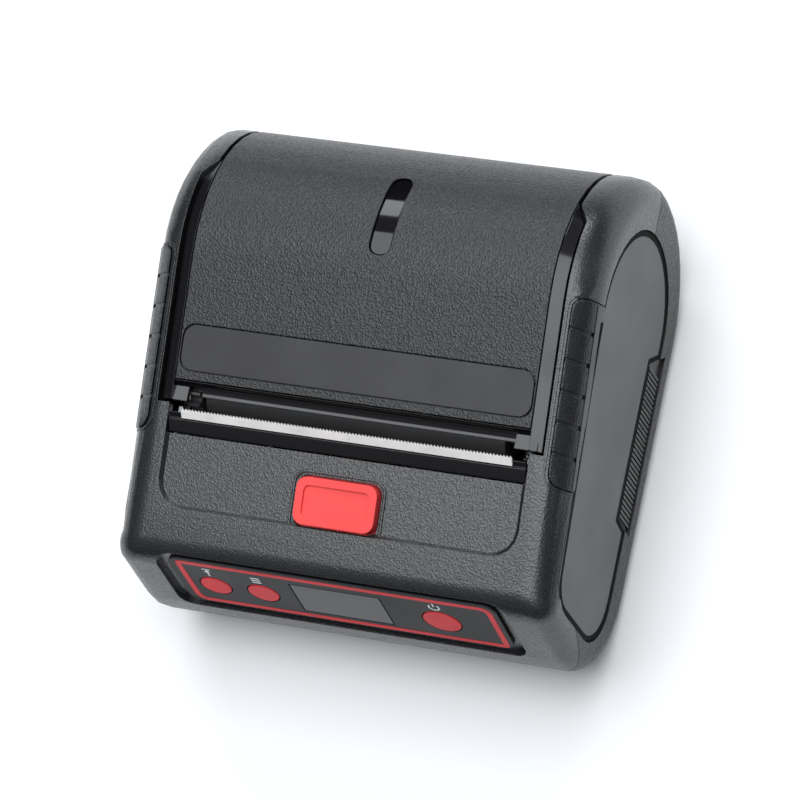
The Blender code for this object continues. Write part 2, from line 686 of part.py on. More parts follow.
def skin_and_fill(bm, loops):
    """Bridge each edge loop to the next and fill the two ends."""
    for left, right in zip(loops, loops[1:]):
        bmesh.ops.bridge_loops(bm, edges=left + right)
    for end in (loops[0], loops[-1]):
        bmesh.ops.edgeloop_fill(bm, edges=end)


def loft(rings):
    """Closed solid through rings of equal point counts, with both ends filled."""
    bm = bmesh.new()
    loops = []
    for x, points in rings:
        verts = [bm.verts.new((x, y, z)) for y, z in points]
        loops.append([bm.edges.new((verts[k - 1], verts[k])) for k in range(len(verts))])
    skin_and_fill(bm, loops)
    return object_from(bm)


def tapered(rings, place):
    """Closed solid through plan outlines at rising heights of a tilted frame."""
    bm = bmesh.new()
    loops = []
    for height, points in rings:
        verts = [bm.verts.new(place @ Vector((a, b, height))) for a, b in points]
        loops.append([bm.edges.new((verts[k - 1], verts[k])) for k in range(len(verts))])
    skin_and_fill(bm, loops)
    return object_from(bm)


def side_round(angle):
    """Rounding radius of the case's side edge: large over the top, small round the bottom and front."""
    top_angle = math.pi / 2 + TOP_SLOPE
    rising = blend(angle, 0.0, ROUND_GROWS_TO)
    falling = blend(angle, top_angle, math.pi / 2 + FACE_TILT)
    return LOWER_ROUND + (TOP_ROUND - LOWER_ROUND) * min(rising, 1.0 - falling)


def case_solid(inset=0.0, side_inset=None):
    """Solid of the whole case with its rounded side edges, moved inwards by inset."""
    side_inset = inset if side_inset is None else side_inset
    turns = [math.pi / 2 * step / ROUND_STEPS for step in range(ROUND_STEPS + 1)]
    stations = [(-1, turn) for turn in reversed(turns)] + [(1, turn) for turn in turns]
    bm = bmesh.new()
    loops = []
    for side, turn in stations:
        verts = []
        for y, z, angle in CASE.spots():
            radius = max(side_round(angle) - inset, LEAST_ROUND)
            drop = inset + radius * (1 - math.cos(turn))
            x = side * (HALF - side_inset - radius * (1 - math.sin(turn)))
            verts.append(bm.verts.new((x, y - drop * math.cos(angle), z - drop * math.sin(angle))))
        loops.append([bm.edges.new((verts[k - 1], verts[k])) for k in range(len(verts))])
    skin_and_fill(bm, loops)
    return object_from(bm)


def span(side, inner, outer):
    """Low and high X of a slab between two distances from the middle plane."""
    return (inner, outer) if side > 0 else (-outer, -inner)


def rod(centre, radius, low, high, segments=ROUND_SEGMENTS, axis="X"):
    """Round bar along an axis."""
    return prism(circle(centre[0], centre[1], radius, segments), low, high, axis)


def parting(above, lower_by=0.0):
    """Solid above or below the parting line, which drops at the front to pass under the key panel."""
    bend = PARTING_BEND_INSET - BACK_Y
    height = PARTING_HEIGHT - lower_by
    front = PARTING_FRONT_Z - lower_by
    line = [(FAR, height), (bend, height), (bend - 2 * PARTING_BEND_INSET, 2 * front - height)]
    end = FAR if above else -FAR
    return prism(line + [(line[-1][0], end), (FAR, end)], -FAR, FAR)


def rib_outline(grow=0.0):
    """Outline of the ribbed strip that interrupts the lower edge of a side plate."""
    return [(RIB_TOP_FRONT_Y - grow, RIB_TOP_Z + grow), (RIB_TOP_BACK_Y + grow, RIB_TOP_Z + grow),
            (RIB_BOTTOM_BACK_Y + grow, RIB_BOTTOM_Z - grow),
            (RIB_BOTTOM_FRONT_Y - grow, RIB_BOTTOM_Z - grow)]


def plate_pockets():
    """Cutters for the pockets that take the side plates and the ribbed strips."""
    floor = HALF - PLATE_DEPTH - PLATE_SINK - GAP
    tools = []
    for side in (-1, 1):
        low, high = span(side, floor, FAR)
        tools.append(prism(PLATE.outline(-GAP), low, high))
        tools.append(prism(rib_outline(GAP), low, high))
    return tools


def hinge_rod(radius, low, high):
    """Round bar on the axis of the cover's hinge."""
    return rod((HINGE_Y, HINGE_Z), radius, low, high)


def notch_cone(side, start_x, grow):
    """Cone round the hinge axis that parts the cover's side strip from the rear corner."""
    radii = []
    for y in (NOTCH_BACK_Y, NOTCH_FRONT_Y):
        radii.append(math.hypot(y - HINGE_Y, CASE.top_height(y) - HINGE_Z))
    slope = (radii[1] - radii[0]) / (COVER_HALF - COVER_NECK_HALF)
    rings = []
    for x in (start_x, OPENING_HALF + OVERRUN):
        radius = radii[0] + slope * (x - COVER_NECK_HALF) + grow
        rings.append((side * x, circle(HINGE_Y, HINGE_Z, radius, 3 * ROUND_SEGMENTS)))
    return loft(rings)


def screw_spots():
    """Places of the case screws."""
    return [(side * SCREW_X, y) for y in (SCREW_FRONT_Y, SCREW_BACK_Y) for side in (-1, 1)]


def battery_outline(grow=0.0):
    """Plan outline of the battery."""
    return rounded(-BATTERY_HALF - grow, BATTERY_HALF + grow, BATTERY_FRONT_Y - grow,
                   BATTERY_BACK_Y + grow, BATTERY_CORNER)


def battery_latch_slot(grow_x, front, back):
    """Plan outline of the battery latch's slot or of its key."""
    return rectangle(-BATTERY_LATCH_WIDTH / 2 - grow_x, BATTERY_LATCH_WIDTH / 2 + grow_x, front, back)


def make_bottom_shell():
    shell = case_solid()
    cut(shell, parting(True, GAP), case_solid(WALL, SIDE_WALL))
    for x, y in screw_spots():
        fuse(shell, rod((x, y), SCREW_BOSS_RADIUS, WALL / 2, WALL + SCREW_BOSS_HEIGHT, SMALL_SEGMENTS, "Z"))
    fuse(shell, hinge_rod(HINGE_RADIUS, -LUG_HALF, LUG_HALF))
    fuse(shell, box((-LUG_HALF, HINGE_Y - HINGE_RADIUS, HINGE_Z - 2 * HINGE_RADIUS),
                    (LUG_HALF, HINGE_Y + HINGE_RADIUS / 2, HINGE_Z)))
    for side in (-1, 1):
        low, high = span(side, LUG_HALF, NECK_OPENING_HALF)
        cut(shell, hinge_rod(HINGE_RADIUS + HINGE_TROUGH_GAP, low, high))
    cut(shell, hinge_rod(PIN_RADIUS + GAP, -LUG_HALF - GAP, LUG_HALF + GAP))
    cut(shell, prism(battery_outline(GAP), -OVERRUN, BATTERY_OPENING_Z, "Z"))
    slot_back = LATCH_KEY_BACK_Y + BATTERY_LATCH_TRAVEL + GAP
    cut(shell, prism(battery_latch_slot(GAP, LATCH_SLOT_FRONT_Y, slot_back), -OVERRUN, WALL + GAP, "Z"))
    for x, y in screw_spots():
        cut(shell, rod((x, y), SCREW_RADIUS + GAP, -OVERRUN, WALL + OVERRUN, SMALL_SEGMENTS, "Z"))
        cut(shell, rod((x, y), SCREW_HEAD_RADIUS + GAP, -OVERRUN,
                       SCREW_SINK + SCREW_HEAD_HEIGHT + GAP, SMALL_SEGMENTS, "Z"))
    fuse(shell, rod((0.0, GUIDE_AXIS_Y), PINION_POST_RADIUS, WALL / 2, RACK_Z + RACK_THICKNESS,
                    SMALL_SEGMENTS, "Z"))
    ledge_top = MAIN_BOARD_Z - GAP
    for side in (-1, 1):
        low, high = span(side, LEDGE_INNER_X, HALF - SIDE_WALL / 2)
        fuse(shell, box((low, LEDGE_FRONT_Y, ledge_top - LEDGE_HEIGHT), (high, LEDGE_BACK_Y, ledge_top)))
    cut(shell, *plate_pockets())
    cut(shell, *socket_cutters())
    finish(shell, "bottom_shell", BLACK_SATIN, 0.42)


DECK = tilted_frame(0.0, BUTTON_Y, CASE.top_height(BUTTON_Y), TOP_SLOPE)
PANEL = tilted_frame(0.0, CASE.face_point(PANEL_MID_Z, PANEL_RECESS), PANEL_MID_Z, FACE_TILT)
KEYS = (("feed_key", FEED_KEY_X, SMALL_KEY_RADIUS), ("mode_key", MODE_KEY_X, SMALL_KEY_RADIUS),
        ("power_key", POWER_KEY_X, POWER_KEY_RADIUS))


def button_outline(grow=0.0):
    """Plan outline of the open button on the deck."""
    half_x, half_v = BUTTON_WIDTH / 2 + grow, BUTTON_DEPTH / 2 + grow
    return rounded(-half_x, half_x, -half_v, half_v, BUTTON_CORNER)


def display_outline(grow=0.0):
    """Outline of the display window on the key panel."""
    half_x, half_v = DISPLAY_WIDTH / 2 + grow, DISPLAY_HEIGHT / 2 + grow
    return rectangle(DISPLAY_X - half_x, DISPLAY_X + half_x, -half_v, half_v)


def deck_outline(shrink):
    """Plan outline of the deck, whose back lies behind the front edge of the cover."""
    front = (DECK_FRONT_Y - BUTTON_Y) / math.cos(TOP_SLOPE) + shrink
    half = DECK_HALF - shrink
    return rounded(-half, half, front, front + OVERRUN + OVERRUN, DECK_CORNER - shrink)


def panel_outline(grow=0.0):
    """Outline of the key panel's recess."""
    half_x, half_v = PANEL_WIDTH / 2 + grow, PANEL_HEIGHT / 2 + grow
    return rounded(-half_x, half_x, -half_v, half_v, PANEL_CORNER)


def overlay_outline():
    """Outline of the film with the keys, which leaves a groove along the lower edge of its recess."""
    return rounded(-OVERLAY_HALF, OVERLAY_HALF, -OVERLAY_BELOW, OVERLAY_ABOVE, OVERLAY_CORNER)


def grip_zone(side, grow):
    """Part of the rail that a grip covers, with round corners towards the cover."""
    lower = PLATE.outline(-GRIP_LOWER_GAP + grow)
    low, high = span(side, GRIP_INNER_X - grow, FAR)
    plan = rounded(low, high, GRIP_FRONT_Y - grow, GRIP_BACK_Y + grow, GRIP_CORNER + grow)
    zone = prism(plan, PARTING_HEIGHT, FAR, "Z")
    return cut(zone, prism(lower, -FAR, FAR))


def make_upper_housing():
    shell = case_solid()
    cut(shell, parting(False))
    cut(shell, prism(CASE.outline(WALL), -OPENING_HALF, OPENING_HALF))
    for side in (-1, 1):
        low, high = span(side, OPENING_HALF + RAIL_WALL, HALF - SIDE_WALL)
        cut(shell, prism(CASE.outline(RAIL_SKIN), low, high))
    front = COVER_FRONT_Y - COVER_GAP
    cut(shell, box((-NECK_OPENING_HALF, front, PARTING_HEIGHT - OVERRUN), (NECK_OPENING_HALF, FAR, FAR)))
    for side in (-1, 1):
        low, high = span(side, NECK_OPENING_HALF - GAP, OPENING_HALF)
        opening = box((low, front, PARTING_HEIGHT), (high, FAR, FAR))
        cut(opening, notch_cone(side, COVER_NECK_HALF - OVERRUN, 0.0))
        cut(shell, opening)
    cut(shell, box((-HOLDER_HALF - GAP, HOLDER_FRONT_Y - GAP, PARTING_HEIGHT), (HOLDER_HALF + GAP, 0.0, FAR)))
    deck_tool = tapered([(-DECK_SINK, deck_outline(DECK_RAMP)), (0.0, deck_outline(0.0)),
                         (OVERRUN, deck_outline(0.0))], DECK)
    cut(deck_tool, box((-FAR, COVER_FRONT_Y - COVER_GAP, 0.0), (FAR, FAR, FAR)))
    cut(shell, deck_tool)
    cut(shell, prism(button_outline(BUTTON_GAP), -OVERRUN, OVERRUN, "Z", DECK))
    floor = -OVERLAY_THICKNESS - GAP
    cut(shell, prism(panel_outline(GAP), floor, OVERRUN, "Z", PANEL))
    cut(shell, prism(display_outline(-DISPLAY_MARGIN), -OVERRUN, OVERRUN, "Z", PANEL))
    for name, x, radius in KEYS:
        cut(shell, prism(circle(x, KEY_V, radius + KEY_GAP), -OVERRUN, OVERRUN, "Z", PANEL))
    for side in (-1, 1):
        pocket = grip_zone(side, GAP)
        keep(pocket, cut(case_solid(-OVERRUN), case_solid(GRIP_DEPTH + GAP)))
        cut(shell, pocket)
    cut(shell, *plate_pockets())
    finish(shell, "upper_housing", BLACK_COARSE, 0.46)


def make_side_pieces():
    for side, word in ((-1, "left"), (1, "right")):
        floor = HALF - PLATE_DEPTH - PLATE_SINK
        low, high = span(side, floor, HALF - PLATE_SINK)
        plate = prism(PLATE.outline(), low, high)
        cut(plate, prism(rib_outline(GAP), -FAR, FAR))
        if side < 0:
            cut(plate, prism(flap_outline(GAP), -FAR, FAR))
        finish(plate, "side_plate_" + word, GREY_SATIN, 0.45)

        strip = prism(rib_outline(), *span(side, floor, HALF - PLATE_SINK - RIB_HEIGHT))
        pitch = (RIB_TOP_BACK_Y - RIB_TOP_FRONT_Y) / RIB_COUNT
        ribs = []
        for index in range(RIB_COUNT):
            y = RIB_TOP_FRONT_Y + (index + 1 / 2) * pitch
            rib = [(y - RIB_BASE / 2 - RIB_LEAN, RIB_BOTTOM_Z + RIB_HEIGHT),
                   (y + RIB_BASE / 2 - RIB_LEAN, RIB_BOTTOM_Z + RIB_HEIGHT),
                   (y + RIB_BASE / 2, RIB_TOP_Z - RIB_HEIGHT),
                   (y - RIB_BASE / 2, RIB_TOP_Z - RIB_HEIGHT)]
            ribs.append(prism(rib, *span(side, floor + RIB_HEIGHT / 2, HALF - PLATE_SINK)))
        fuse(strip, joined(ribs))
        finish(strip, "side_rib_strip_" + word, RUBBER_BLACK, 0.6)

        grip = keep(grip_zone(side, 0.0), cut(case_solid(-GRIP_PROUD), case_solid(GRIP_DEPTH)))
        pitch = (GRIP_BACK_Y - GRIP_FRONT_Y) / GRIP_SEGMENTS
        grooves = []
        for index in range(1, GRIP_SEGMENTS):
            y = GRIP_FRONT_Y + index * pitch
            grooves.append(box((-FAR, y - GRIP_GROOVE / 2, PARTING_HEIGHT), (FAR, y + GRIP_GROOVE / 2, FAR)))
        cut(grip, cut(joined(grooves), case_solid()))
        finish(grip, "rail_grip_" + word, RUBBER_BLACK, 0.55)


def band(outer, inner, half):
    """Part of the case's skin between two insets."""
    layer = prism(CASE.outline(outer), -half, half)
    return cut(layer, prism(CASE.outline(inner), -FAR, FAR))


def label_band(grow, depth):
    """Label plate or its pocket: a patch of the skin under the label's plan outline."""
    plan = rounded(-LABEL_HALF - grow, LABEL_HALF + grow, LABEL_FRONT_Y - grow, LABEL_BACK_Y + grow,
                   LABEL_CORNER)
    patch = prism(plan, PARTING_HEIGHT, FAR, "Z")
    return keep(patch, band(-OVERRUN if grow else 0.0, depth, LABEL_HALF + OVERRUN))


def window_plan(grow):
    """Plan outline of the slot window, a narrow shape with round ends."""
    half = WINDOW_HALF + grow
    return rounded(WINDOW_X - half, WINDOW_X + half, WINDOW_FRONT_Y - grow, WINDOW_BACK_Y + grow,
                   half - GAP)


def make_cover_skin():
    """Textured outer skin of the paper cover."""
    half = COVER_NECK_HALF - GAP
    skin = band(0.0, SKIN_THICKNESS, half)
    cut(skin, box((-FAR, -FAR, -FAR), (FAR, SKIN_FRONT_Y, FAR)))
    cut(skin, box((-FAR, -FAR, -FAR), (FAR, FAR, COVER_END_Z)))
    cut(skin, label_band(GAP, LABEL_THICKNESS + GAP))
    cut(skin, prism(window_plan(0.0), PARTING_HEIGHT, FAR, "Z"))
    finish(set_origin(skin, (0.0, HINGE_Y, HINGE_Z)), "cover_skin", BLACK_COARSE, 0.5)

    label = label_band(0.0, LABEL_THICKNESS)
    finish(set_origin(label, (0.0, HINGE_Y, HINGE_Z)), "label_plate", LABEL_GREY, 0.38)

    lens = keep(prism(window_plan(-GAP), PARTING_HEIGHT, FAR, "Z"),
                band(WINDOW_SINK, SKIN_THICKNESS, half))
    finish(set_origin(lens, (0.0, HINGE_Y, HINGE_Z)), "slot_window", BLACK_GLOSS, 0.08)


def lip_outline():
    """Side view of the concave lip over the paper slot."""
    top = CASE.top_height(SKIN_FRONT_Y)
    front = SKIN_FRONT_Y - GAP
    under = SKIN_THICKNESS + GAP
    reach = LIP_FRONT_Y - front
    points = [(front, top - under - GAP), (LIP_BACK_Y, CASE.top_height(LIP_BACK_Y, under + GAP)),
              (LIP_BACK_Y, LIP_UNDER_Z), (LIP_FRONT_Y, LIP_UNDER_Z)]
    drop = top - LIP_EDGE - LIP_UNDER_Z - LIP_EDGE
    for step in range(LIP_STEPS + 1):
        turn = math.pi / 2 * step / LIP_STEPS
        points.append((front + reach * (1 - math.sin(turn)),
                       LIP_UNDER_Z + LIP_EDGE + drop * (1 - math.cos(turn))))
    return points


def make_cover_frame():
    """Glossy frame under the skin: side strips, lip, platen arms and hinge knuckles."""
    flush = SKIN_THICKNESS + GAP
    under = flush + FRAME_THICKNESS
    skirt = COVER_HALF - SKIRT_THICKNESS
    frame = band(flush, under, COVER_HALF - SKIRT_THICKNESS / 2)
    cut(frame, box((-FAR, -FAR, -FAR), (FAR, LIP_BACK_Y, FAR)))
    for side in (-1, 1):
        strip = loft([(side * COVER_NECK_HALF, CASE.outline()),
                      (side * COVER_HALF, CASE.outline(STRIP_DROP))])
        cut(strip, prism(CASE.outline(under - STRIP_STEP), -skirt, skirt))
        cut(strip, prism(CASE.outline(SKIRT_DEPTH), -FAR, FAR))
        cut(strip, box((-FAR, -FAR, -FAR), (FAR, COVER_FRONT_Y, FAR)))
        fuse(frame, strip)
    cut(frame, box((-FAR, -FAR, -FAR), (FAR, FAR, COVER_END_Z)))
    for side in (-1, 1):
        low, high = span(side, COVER_NECK_HALF - GAP, FAR)
        cone = keep(notch_cone(side, COVER_NECK_HALF - OVERRUN, COVER_GAP),
                    box((low, -FAR, -FAR), (high, FAR, FAR)))
        cut(frame, cone)
    fuse(frame, prism(lip_outline(), -COVER_NECK_HALF - GAP, COVER_NECK_HALF + GAP))
    for side in (-1, 1):
        arm_top = CASE.top_height(PLATEN_Y) - SKIRT_DEPTH / 2
        low, high = span(side, ARM_INNER_X, COVER_HALF - SKIRT_THICKNESS / 2)
        fuse(frame, box((low, COVER_FRONT_Y, PLATEN_Z - ARM_HALF), (high, PLATEN_Y + ARM_HALF, arm_top)))
        low, high = span(side, BLOCK_INNER_X, ARM_INNER_X + SKIRT_THICKNESS)
        fuse(frame, box((low, COVER_FRONT_Y, BLOCK_UNDER_Z), (high, BLOCK_BACK_Y, BLOCK_TOP_Z)))
        low, high = span(side, KNUCKLE_INNER_X, COVER_NECK_HALF)
        fuse(frame, hinge_rod(HINGE_RADIUS, low, high))
        fuse(frame, box((low, HINGE_Y - KNUCKLE_STEM, HINGE_Z),
                        (high, HINGE_Y + KNUCKLE_BACK, KNUCKLE_TOP_Z)))
    gear_room = GEAR_MODULE * (PLATEN_TEETH / 2 + 1) + GAP
    cut(frame, rod(PLATEN, gear_room, -GEAR_OUTER_X - GEAR_ROOM, -GEAR_INNER_X + GEAR_ROOM))
    cut(frame, rod(PLATEN, SHAFT_RADIUS + GAP, -SHAFT_HALF - GAP, SHAFT_HALF + GAP))
    cut(frame, hinge_rod(PIN_RADIUS + GAP, -PIN_HALF - GAP, PIN_HALF + GAP))
    finish(set_origin(frame, (0.0, HINGE_Y, HINGE_Z)), "cover_frame", BLACK_GLOSS, 0.14)


def make_hinge():
    finish(hinge_rod(PIN_RADIUS, -PIN_HALF, PIN_HALF), "hinge_pin", STEEL, 0.3, 1.0)


def gear(teeth, centre, low, high, phase, bore, axis="X"):
    """Spur gear. On the X axis a tooth points at phase, an angle from +Y towards +Z."""
    pitch_radius = GEAR_MODULE * teeth / 2
    tip = pitch_radius + ADDENDUM_SHARE * GEAR_MODULE
    root = pitch_radius - DEDENDUM_SHARE * GEAR_MODULE
    step = 2 * math.pi / teeth
    points = []
    for index in range(teeth):
        middle = phase + index * step
        for radius, share in ((root, -TOOTH_ROOT_SHARE), (tip, -TOOTH_TIP_SHARE),
                              (tip, TOOTH_TIP_SHARE), (root, TOOTH_ROOT_SHARE)):
            angle = middle + share * step / 2
            points.append((centre[0] + radius * math.cos(angle), centre[1] + radius * math.sin(angle)))
    wheel = prism(points, low, high, axis)
    return cut(wheel, rod(centre, bore, -FAR, FAR, SMALL_SEGMENTS, axis))


def beside(centre, distance, angle):
    """Point at a distance and angle from a centre in the side view."""
    return (centre[0] + distance * math.cos(angle), centre[1] + distance * math.sin(angle))


LEAVE_ANGLE = math.atan2(HINGE_Y - PLATEN_Y, PLATEN_Z - HINGE_Z)
IDLER_ANGLE = LEAVE_ANGLE + math.pi
PLATEN_PITCH = GEAR_MODULE * PLATEN_TEETH / 2
IDLER_PITCH = GEAR_MODULE * IDLER_TEETH / 2
PINION_PITCH = GEAR_MODULE * PINION_TEETH / 2
IDLER = beside(PLATEN, PLATEN_PITCH + IDLER_PITCH + MESH_CLEARANCE, IDLER_ANGLE)
PINION = beside(IDLER, IDLER_PITCH + PINION_PITCH + MESH_CLEARANCE, math.pi)


def make_platen():
    origin = (0.0, PLATEN_Y, PLATEN_Z)
    shaft = rod(PLATEN, SHAFT_RADIUS, -SHAFT_HALF, SHAFT_HALF)
    finish(set_origin(shaft, origin), "platen_shaft", STEEL, 0.3, 1.0)
    roller = rod(PLATEN, ROLLER_RADIUS, -ROLLER_HALF, ROLLER_HALF, 2 * SMALL_SEGMENTS)
    cut(roller, rod(PLATEN, SHAFT_RADIUS + GAP, -FAR, FAR))
    finish(set_origin(roller, origin), "platen_roller", RUBBER_BLACK, 0.6)
    wheel = gear(PLATEN_TEETH, PLATEN, -GEAR_OUTER_X, -GEAR_INNER_X, IDLER_ANGLE, SHAFT_RADIUS + GAP)
    finish(set_origin(wheel, origin), "platen_gear", WHITE_PLASTIC, 0.5, smooth=False)
    for side, word in ((-1, "left"), (1, "right")):
        low, high = span(side, BUSH_INNER_X, BUSH_OUTER_X)
        bush = rod(PLATEN, BUSH_RADIUS, low, high)
        cut(bush, rod(PLATEN, SHAFT_RADIUS + GAP, -FAR, FAR))
        finish(set_origin(bush, origin), "platen_bush_" + word, STEEL, 0.25, 1.0)


def make_gear_train():
    step = 2 * math.pi / IDLER_TEETH
    towards_platen = IDLER_ANGLE + math.pi
    idler_phase = towards_platen + step / 2
    wheel = gear(IDLER_TEETH, IDLER, -GEAR_OUTER_X, -GEAR_INNER_X, idler_phase, IDLER_PIN_RADIUS + GAP)
    finish(set_origin(wheel, (0.0,) + IDLER), "idler_gear", WHITE_PLASTIC, 0.5, smooth=False)

    past_tooth = (math.pi - idler_phase) / step
    lag = past_tooth - math.floor(past_tooth)
    pinion_phase = -(1 / 2 - lag) * 2 * math.pi / PINION_TEETH
    small = gear(PINION_TEETH, PINION, -GEAR_OUTER_X, -GEAR_INNER_X, pinion_phase,
                 MOTOR_SHAFT_RADIUS + GAP)
    finish(set_origin(small, (0.0,) + PINION), "motor_pinion", ZINC, 0.35, 1.0, smooth=False)

    body = rod(PINION, MOTOR_RADIUS, -MOTOR_OUTER_X, -MOTOR_INNER_X)
    cut(body, rod(PINION, MOTOR_SHAFT_RADIUS + GAP, -FAR, -MOTOR_INNER_X - WALL))
    finish(body, "stepper_motor", ZINC, 0.4, 1.0)
    shaft = rod(PINION, MOTOR_SHAFT_RADIUS, -GEAR_OUTER_X, -MOTOR_INNER_X - WALL - GAP, SMALL_SEGMENTS)
    finish(set_origin(shaft, (0.0,) + PINION), "motor_shaft", STEEL, 0.3, 1.0)


def bush_notch(side):
    """Cutter for the open notch that a platen bush drops into."""
    low, high = span(side, FRAME_PLATE_X - FRAME_SHEET, FAR)
    radius = BUSH_RADIUS + BUSH_NOTCH_GAP
    notch = rod(PLATEN, radius, low, high, 2 * SMALL_SEGMENTS)
    along = (math.cos(LEAVE_ANGLE), math.sin(LEAVE_ANGLE))
    across = (along[1], -along[0])
    corners = []
    for a, b in ((0, radius), (0, -radius), (FAR, -NOTCH_MOUTH), (FAR, NOTCH_MOUTH)):
        corners.append((PLATEN[0] + a * along[0] + b * across[0], PLATEN[1] + a * along[1] + b * across[1]))
    return fuse(notch, prism(corners, low, high))


def make_mechanism_frame():
    frame = box((-FRAME_PLATE_X - FRAME_SHEET, FRAME_FRONT_Y, FRAME_BOTTOM_Z),
                (FRAME_PLATE_X + FRAME_SHEET, FRAME_BACK_Y, FRAME_BOTTOM_Z + FRAME_SHEET))
    for side in (-1, 1):
        low, high = span(side, FRAME_PLATE_X, FRAME_PLATE_X + FRAME_SHEET)
        plate = box((low, FRAME_FRONT_Y, FRAME_BOTTOM_Z), (high, FRAME_BACK_Y, FRAME_TOP_Z))
        fuse(frame, cut(plate, bush_notch(side)))
        low, high = span(side, LATCH_INNER_X, FRAME_PLATE_X + FRAME_SHEET / 2)
        fuse(frame, rod((LATCH_PIVOT_Y, LATCH_PIVOT_Z), LATCH_PIN_RADIUS, low, high, SMALL_SEGMENTS))
    wall = [(-FRAME_WALL_HALF, FRAME_TOP_Z), (-FRAME_WALL_HALF, FRAME_WALL_LOW_Z),
            (FRAME_WALL_FOOT_X, FRAME_WALL_LOW_Z), (FRAME_WALL_FOOT_X, FRAME_BOTTOM_Z),
            (FRAME_WALL_HALF, FRAME_BOTTOM_Z), (FRAME_WALL_HALF, FRAME_TOP_Z)]
    fuse(frame, prism(wall, FRAME_FRONT_Y, FRAME_FRONT_Y + FRAME_SHEET, "Y"))
    fuse(frame, box((-SHELF_HALF, SHELF_FRONT_Y, SHELF_Z),
                    (SHELF_HALF, FRAME_FRONT_Y + FRAME_SHEET / 2, SHELF_Z + FRAME_SHEET)))
    fuse(frame, rod(IDLER, IDLER_PIN_RADIUS, -FRAME_PLATE_X - FRAME_SHEET / 2, -GEAR_INNER_X, SMALL_SEGMENTS))
    finish(frame, "mechanism_frame", ZINC, 0.4, 1.0, smooth=False)


def make_print_head():
    back = PLATEN_Y - ROLLER_RADIUS - GAP
    strip = box((-HEAD_HALF, back - HEAD_THICKNESS, HEAD_BOTTOM), (HEAD_HALF, back, HEAD_TOP))
    finish(strip, "print_head", CERAMIC, 0.25)
    back -= HEAD_THICKNESS + GAP
    sink = box((-HEAD_HALF, back - SINK_THICKNESS, HEAD_BOTTOM), (HEAD_HALF, back, HEAD_TOP))
    finish(sink, "head_heat_sink", ZINC, 0.45, 1.0, smooth=False)
    back -= SINK_THICKNESS + GAP
    front = FRAME_FRONT_Y + FRAME_SHEET + GAP
    middle = (HEAD_BOTTOM + HEAD_TOP) / 2
    for side, word in ((-1, "left"), (1, "right")):
        coil = helix((side * HEAD_SPRING_X, front, middle), "Y", HEAD_SPRING_RADIUS, back - front,
                     SPRING_TURNS)
        finish(coil, "head_spring_" + word, STEEL, 0.3, 1.0)


def helix(start, axis, radius, length, turns):
    """Compression spring from start along an axis, one unbroken wire."""
    place = AXIS_MAPS[axis]
    count = turns * SPRING_POINTS
    spring = bpy.data.curves.new("spring", "CURVE")
    spring.dimensions = "3D"
    spring.bevel_depth = SPRING_WIRE
    spring.bevel_resolution = 1
    spring.use_fill_caps = True
    path = spring.splines.new("POLY")
    path.points.add(count)
    climb = length - 2 * SPRING_WIRE
    for index in range(count + 1):
        turn = 2 * math.pi * index / SPRING_POINTS
        height = SPRING_WIRE + climb * index / count
        spot = Vector(place(radius * math.cos(turn), radius * math.sin(turn), height)) + Vector(start)
        path.points[index].co = (*spot, 1.0)
    holder = bpy.data.objects.new("spring", spring)
    bpy.context.scene.collection.objects.link(holder)
    graph = bpy.context.evaluated_depsgraph_get()
    graph.update()
    mesh = bpy.data.meshes.new_from_object(holder.evaluated_get(graph))
    bpy.data.objects.remove(holder, do_unlink=True)
    item = bpy.data.objects.new("spring", mesh)
    bpy.context.scene.collection.objects.link(item)
    return item


def make_tear_bar():
    tip = tilted_frame(0.0, TEAR_TIP_Y, TEAR_TIP_Z, TEAR_TILT)
    count = round(2 * TEAR_HALF / TEAR_PITCH)
    pitch = 2 * TEAR_HALF / count
    outline = [(-TEAR_HALF, -TEAR_WIDTH), (TEAR_HALF, -TEAR_WIDTH)]
    for index in range(count, 0, -1):
        x = -TEAR_HALF + index * pitch
        outline.append((x, -TEAR_TOOTH))
        outline.append((x - pitch / 2, 0.0))
    outline.append((-TEAR_HALF, -TEAR_TOOTH))
    blade = prism(outline, -TEAR_THICKNESS, 0.0, "Z", tip)
    finish(blade, "tear_bar", STEEL, 0.22, 1.0, smooth=False)

    low_y = TEAR_TIP_Y - TEAR_WIDTH * math.cos(TEAR_TILT)
    low_z = TEAR_TIP_Z - TEAR_WIDTH * math.sin(TEAR_TILT)
    under = TEAR_THICKNESS + GAP
    step_y = low_y - GAP + under * math.sin(TEAR_TILT)
    step_z = low_z - under * math.cos(TEAR_TILT)
    shelf = TEAR_WIDTH - TEAR_OVERHANG
    top_y = step_y + shelf * math.cos(TEAR_TILT)
    top_z = step_z + shelf * math.sin(TEAR_TILT)
    deck_z = CASE.top_height(HOLDER_FRONT_Y) - DECK_SINK
    outline = [(HOLDER_FRONT_Y, deck_z - HOLDER_DEPTH), (HOLDER_FRONT_Y, deck_z),
               (low_y - GAP, low_z), (step_y, step_z), (top_y, top_z), (top_y, HEAD_TOP + GAP),
               (FRAME_FRONT_Y + HOLDER_HEEL, HEAD_TOP + GAP), (HOLDER_HEEL_Y, deck_z - HOLDER_DEPTH)]
    holder = prism(outline, -HOLDER_HALF, HOLDER_HALF)
    finish(holder, "tear_bar_holder", BLACK_GLOSS, 0.12)


